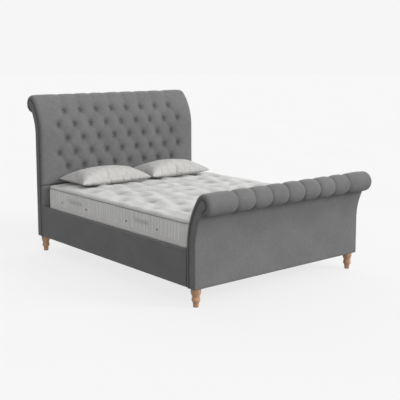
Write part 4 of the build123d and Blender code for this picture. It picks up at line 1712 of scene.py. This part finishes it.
            def place(around: Array, about: Array) -> Pair:
                """Runs the tape round the mattress."""
                travelled = around * plan.girth
                points, outward = plan.rim(travelled)
                angle = about * math.tau
                out = self.tape * 0.85 * np.cos(angle) - 0.0004
                z = height + self.tape * np.sin(angle) + waviness(travelled, angle * 0.0, 71, 0.3, 0.0006)
                x = points[:, 0] + outward[:, 0] * out
                y = points[:, 1] + outward[:, 1] * out
                return np.stack([x, y, z], axis=1), np.stack([travelled, about * self.tape * 6], axis=1)

            mesh = mapped_grid(round(plan.girth / 0.012), 12, place)
            weld(mesh)
            bmesh.ops.recalc_face_normals(mesh, faces=mesh.faces)
            piece = as_piece(mesh, f"mattress_{label}_tape", self.wardrobe.tape, 80.0)
            declare(piece, "mattress", ["mattress_piping"])

    def underside(self) -> None:
        """Makes the slightly crowned underside."""
        low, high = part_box("mattress_base_panel")

        def relief(x: Array, y: Array) -> Array:
            """Slight unevenness of the ticking."""
            return waviness(x, y, 81, 0.2, 0.0005) + 0.0005

        mesh = self.panel(high.z, low.z, -1, relief, 0.03)
        piece = as_piece(mesh, "mattress_underside", self.wardrobe.border, 60.0)
        declare(piece, "mattress", ["mattress_base_panel"])

    def vents(self) -> None:
        """Makes the plated eyelets in the border and the dark gauze in them."""
        low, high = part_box("mattress_vents")
        plan = self.plan()
        radius = (high.z - low.z) / 2
        hole_share, gauze_share, gauze_height, proud = 0.55, 0.62, 0.0012, 0.0030
        rims, gauzes = [], []
        for side in Side:
            facing = Matrix.Rotation(side.value * math.pi / 2, 4, "Y")
            for y in self.vent_places:
                place = Vector((side.value * (plan.half_x + proud), y, low.z + radius))
                rims.append(Matrix.Translation(place) @ facing)
                gauzes.append(Matrix.Translation(place) @ facing @ Matrix.Scale(gauze_share, 4))
        eyelet = Eyelet(radius, radius * hole_share).shape()
        gauze = Button(radius, gauze_height).shape()
        for shape, name, places, finish in (
            (eyelet, "mattress_vent_eyelets", rims, self.wardrobe.nickel),
            (gauze, "mattress_vent_gauze", gauzes, self.wardrobe.plastic),
        ):
            piece = as_piece(repeated(shape, places), name, finish, 50.0)
            declare(piece, "mattress", ["mattress_vents"])

    def handles(self) -> None:
        """Makes the sewn strap handles, bowed off the border with their ends stitched flat."""
        low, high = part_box("mattress_handles")
        plan = self.plan()
        length, width, thickness, bow = 0.190, high.z - low.z, 0.0022, 0.0030
        centres = (low.y + length / 2, high.y - length / 2)
        middle = (low.z + high.z) / 2
        mesh = bmesh.new()
        for side in Side:
            for centre in centres:
                made = bmesh.ops.create_grid(mesh, x_segments=36, y_segments=8, size=0.5)
                faces = list({face for vert in made["verts"] for face in vert.link_faces})
                for vert in made["verts"]:
                    along, up = vert.co.x, vert.co.y
                    lift = bow * max(0.0, math.cos(along * math.pi)) ** 0.6
                    out = plan.half_x + 0.0032 + lift - 0.0012 * (2 * up) ** 2
                    vert.co = (side.value * out, centre + along * length, middle + up * width)
                bmesh.ops.recalc_face_normals(mesh, faces=faces)
                bmesh.ops.solidify(mesh, geom=faces, thickness=thickness)
        bmesh.ops.recalc_face_normals(mesh, faces=mesh.faces)
        piece = as_piece(mesh, "mattress_strap_handles", self.wardrobe.strap, 50.0)
        declare(piece, "mattress", ["mattress_handles"])

    def build(self) -> None:
        """Makes the whole mattress."""
        self.tufted_top()
        self.tufts()
        self.border()
        self.tapes()
        self.underside()
        self.vents()
        self.handles()


# ---- Pillows -------------------------------------------------------------------------------------------


@dataclass(frozen=True)
class Pillow:
    """A feather-filled pillow: two sewn panels blown up by simulation until they wrinkle."""

    side: Side
    wardrobe: Wardrobe
    seed: int
    pressure: float = 14.0
    frames: int = 26
    cut_length: float = 0.50
    cut_width: float = 0.76
    cells: float = 0.0105
    slack: float = 0.0
    sink: float = 0.006
    lean: float = 0.02
    lower_share: float = 0.50
    rested_share: float = 0.14

    def pouch(self) -> Object:
        """Sews two flat panels together.

        Returns:
            The empty pillow, about the origin.
        """
        mesh = bmesh.new()
        columns, rows = round(self.cut_width / self.cells), round(self.cut_length / self.cells)
        bmesh.ops.create_grid(mesh, x_segments=columns, y_segments=rows, size=0.5)
        bmesh.ops.scale(mesh, vec=(self.cut_width, self.cut_length, 1.0), verts=mesh.verts)
        bmesh.ops.solidify(mesh, geom=mesh.faces, thickness=0.012)
        bmesh.ops.recalc_face_normals(mesh, faces=mesh.faces)
        chance = np.random.default_rng(self.seed)
        for vert in mesh.verts:
            vert.co.z += float(chance.uniform(-0.0012, 0.0012))
        return as_piece(mesh, f"pillow_cotton_{self.side.name.lower()}", self.wardrobe.pillow)

    def blow_up(self, piece: Object) -> None:
        """Fills the pouch by simulation and applies the result."""
        scene = bpy.context.scene
        cloth = piece.modifiers.new("filling", "CLOTH")
        settings = cloth.settings
        settings.quality = 5
        settings.mass = 0.25
        settings.use_pressure = True
        settings.uniform_pressure_force = self.pressure
        settings.tension_stiffness = 18.0
        settings.compression_stiffness = 6.0
        settings.shear_stiffness = 5.0
        settings.bending_stiffness = 0.35
        settings.air_damping = 6.0
        settings.effector_weights.gravity = 0.0
        cloth.collision_settings.use_collision = False
        cloth.collision_settings.use_self_collision = False
        cloth.point_cache.frame_start = 1
        cloth.point_cache.frame_end = self.frames
        for number in range(1, self.frames + 1):
            scene.frame_set(number)
        blown = bpy.data.meshes.new_from_object(piece.evaluated_get(bpy.context.evaluated_depsgraph_get()))
        piece.modifiers.clear()
        old = piece.data
        piece.data = blown
        bpy.data.meshes.remove(old)
        scene.frame_set(1)

    def lay_down(self, piece: Object) -> None:
        """Fits the pillow to its place on the mattress."""
        low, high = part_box(f"pillow_{self.side.name.lower()}")
        high.x -= self.slack
        low.z -= self.sink
        count = len(piece.data.vertices)
        flat = np.empty(count * 3)
        piece.data.vertices.foreach_get("co", flat)
        points = flat.reshape(-1, 3)
        least, most = points.min(axis=0), points.max(axis=0)
        points = (points - (least + most) / 2) / (most - least)
        chance = np.random.default_rng(self.seed)
        shape = Vector(high - low)
        tilt = chance.uniform(-self.lean, self.lean)
        x = points[:, 0] * shape.x
        y = points[:, 1] * shape.y
        z = points[:, 2] * shape.z
        z = np.where(z < 0, z * self.lower_share, z)
        z = np.maximum(z, np.quantile(z, self.rested_share))
        z = (z - z.min()) / (z.max() - z.min()) * shape.z
        turned_x = x * math.cos(tilt) - y * math.sin(tilt)
        turned_y = x * math.sin(tilt) + y * math.cos(tilt)
        middle = (low + high) / 2
        placed = np.stack([turned_x + middle.x, turned_y + middle.y, z + low.z], axis=1)
        piece.data.vertices.foreach_set("co", placed.ravel())
        piece.data.update()

    def build(self) -> None:
        """Makes the pillow."""
        piece = self.pouch()
        self.blow_up(piece)
        self.lay_down(piece)
        for face in piece.data.polygons:
            face.use_smooth = True
        smooth = piece.modifiers.new("finer", "SUBSURF")
        smooth.levels = smooth.render_levels = 1
        label = self.side.name.lower()
        declare(piece, label + "_pillow", [f"pillow_{label}"])


# ---- What the frame already has ------------------------------------------------------------------------


@dataclass(frozen=True)
class FrameParts:
    """The frame's own solids and the finishes they get."""

    wardrobe: Wardrobe

    def dress(self) -> None:
        """Gives each solid of the frame that is still shown its finish."""
        kit = self.wardrobe
        finishes = {
            kit.oak: ("leg_",),
            kit.beech: ("sprung_slats",),
            kit.steel: (
                "bracket_screws", "corner_brackets", "centre_rail_shoes", "rail_bolts", "foot_inserts",
                "foot_plates", "foot_studs",
            ),
            kit.pine: (
                "centre_rail", "centre_legs", "slat_ledge", "rail_board", "headboard_posts", "headboard_ribs",
                "headboard_cross", "footboard_posts", "footboard_ribs", "footboard_cross",
            ),
            kit.plywood: ("headboard_plywood", "footboard_plywood"),
            kit.paper: ("headboard_roll", "footboard_roll"),
            kit.plastic: ("slat_holders", "levelling_glide"),
            kit.felt: ("foot_felts",),
            kit.filling: (
                "mattress_lower_filling", "mattress_upper_filling", "mattress_spring_unit", "rail_foam",
            ),
        }
        for name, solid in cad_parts.items():
            fitting = [material for material, starts in finishes.items() if name.startswith(starts)]
            if fitting:
                for index in range(len(solid.data.materials)):
                    solid.data.materials[index] = fitting[0]
                log.info("dressed %s", name)


# ---- Studio --------------------------------------------------------------------------------------------


class Sun(NamedTuple):
    """A soft distant light: where it comes from, how wide it is in degrees, and its strength."""

    name: str
    source: tuple[float, float, float]
    width: float
    strength: float


@dataclass(frozen=True)
class Studio:
    """Pale floor, soft light and camera."""

    camera_place: tuple[float, float, float] = (-4.1897, -5.2705, 1.7416)
    camera_turn: float = 39.881
    camera_tilt: float = -7.556
    lens: float = 72.75
    shift: tuple[float, float] = (-0.0227, -0.10)
    pale: float = 0.9215
    floor_glow: float = 0.770
    suns: tuple[Sun, ...] = (
        Sun("overhead_light", (0.0, 0.0, 1.0), 170.0, 0.80),
        Sun("key_light", (0.55, -0.72, 0.42), 20.0, 1.45),
        Sun("front_light", (0.0, -1.0, 0.25), 120.0, 1.50),
        Sun("left_light", (-0.9, -0.3, 0.3), 120.0, 0.62),
        Sun("far_light", (0.65, 0.65, 0.40), 90.0, 2.2),
    )

    def floor(self) -> None:
        """Lays a wide pale floor."""
        paint = Recipe("studio_floor")
        cloud = paint.noise(0.6, 2.0)
        paint.feed(Base_Color=paint.blend(cloud, (0.15,) * 3, (0.17,) * 3))
        paint.set(Roughness=1.0, Specular_IOR_Level=0.0)
        paint.set(Emission_Color=(1.0, 1.0, 1.0, 1.0), Emission_Strength=self.floor_glow)
        mesh = bmesh.new()
        bmesh.ops.create_circle(mesh, cap_ends=True, segments=96, radius=60.0)
        floor = as_piece(mesh, "studio_floor", paint.material)
        floor.visible_diffuse = False

    def sky(self) -> None:
        """Sets an even pale surround that lights nothing."""
        world = bpy.data.worlds.new("studio_sky")
        world.use_nodes = True
        surround = world.node_tree.nodes["Background"]
        surround.inputs["Color"].default_value = (1.0, 1.0, 1.0, 1.0)
        surround.inputs["Strength"].default_value = self.pale
        bpy.context.scene.world = world
        world.cycles_visibility.diffuse = False

    def lights(self) -> None:
        """Hangs the soft lights."""
        for sun in self.suns:
            data = bpy.data.lights.new(sun.name, "SUN")
            data.angle = math.radians(sun.width)
            data.energy = sun.strength
            light = in_scene(sun.name, data)
            light.location = Vector(sun.source) * 8.0
            light.rotation_euler = Vector(sun.source).to_track_quat("Z", "Y").to_euler()

    def camera(self) -> None:
        """Sets up the camera."""
        data = bpy.data.cameras.new("studio_camera")
        data.sensor_width = 36.0
        data.lens = self.lens
        data.shift_x, data.shift_y = self.shift
        data.clip_end = 200.0
        camera = in_scene("studio_camera", data)
        camera.location = self.camera_place
        tilt, turn = math.radians(90.0 + self.camera_tilt), math.radians(-self.camera_turn)
        camera.rotation_euler = Euler((tilt, 0.0, turn))
        bpy.context.scene.camera = camera

    def build(self) -> None:
        """Sets up floor, light and camera."""
        bpy.context.scene.view_settings.view_transform = "Standard"
        self.floor()
        self.sky()
        self.lights()
        self.camera()


def measured_boards(wardrobe: Wardrobe) -> tuple[Headboard, Footboard]:
    """Reads both boards' sections from the frame.

    Args:
        wardrobe: the bed's finishes.

    Returns:
        The headboard and the footboard, ready to build.
    """
    head = BoardSection.measured(End.HEAD, "headboard", "headboard_buttoned_pad", 1.028, 0.105)
    foot = BoardSection.measured(End.FOOT, "footboard", "footboard_fluted_pad", 0.420, 0.105)
    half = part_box("headboard_buttoned_pad")[1].x
    return Headboard("headboard", head, wardrobe, half), Footboard("footboard", foot, wardrobe, half)


def main() -> None:
    """Builds every piece over the frame, then the studio."""
    wardrobe = make_wardrobe()
    FrameParts(wardrobe).dress()
    headboard, footboard = measured_boards(wardrobe)
    headboard.build()
    footboard.build()
    for side in Side:
        SideRail(side, wardrobe).build()
    Mattress(wardrobe).build()
    Pillow(Side.LEFT, wardrobe, 3).build()
    Pillow(Side.RIGHT, wardrobe, 8, slack=0.040).build()
    Studio().build()


if __name__ == "__main__":
    logging.basicConfig(level=logging.INFO, format="%(message)s")
    main()
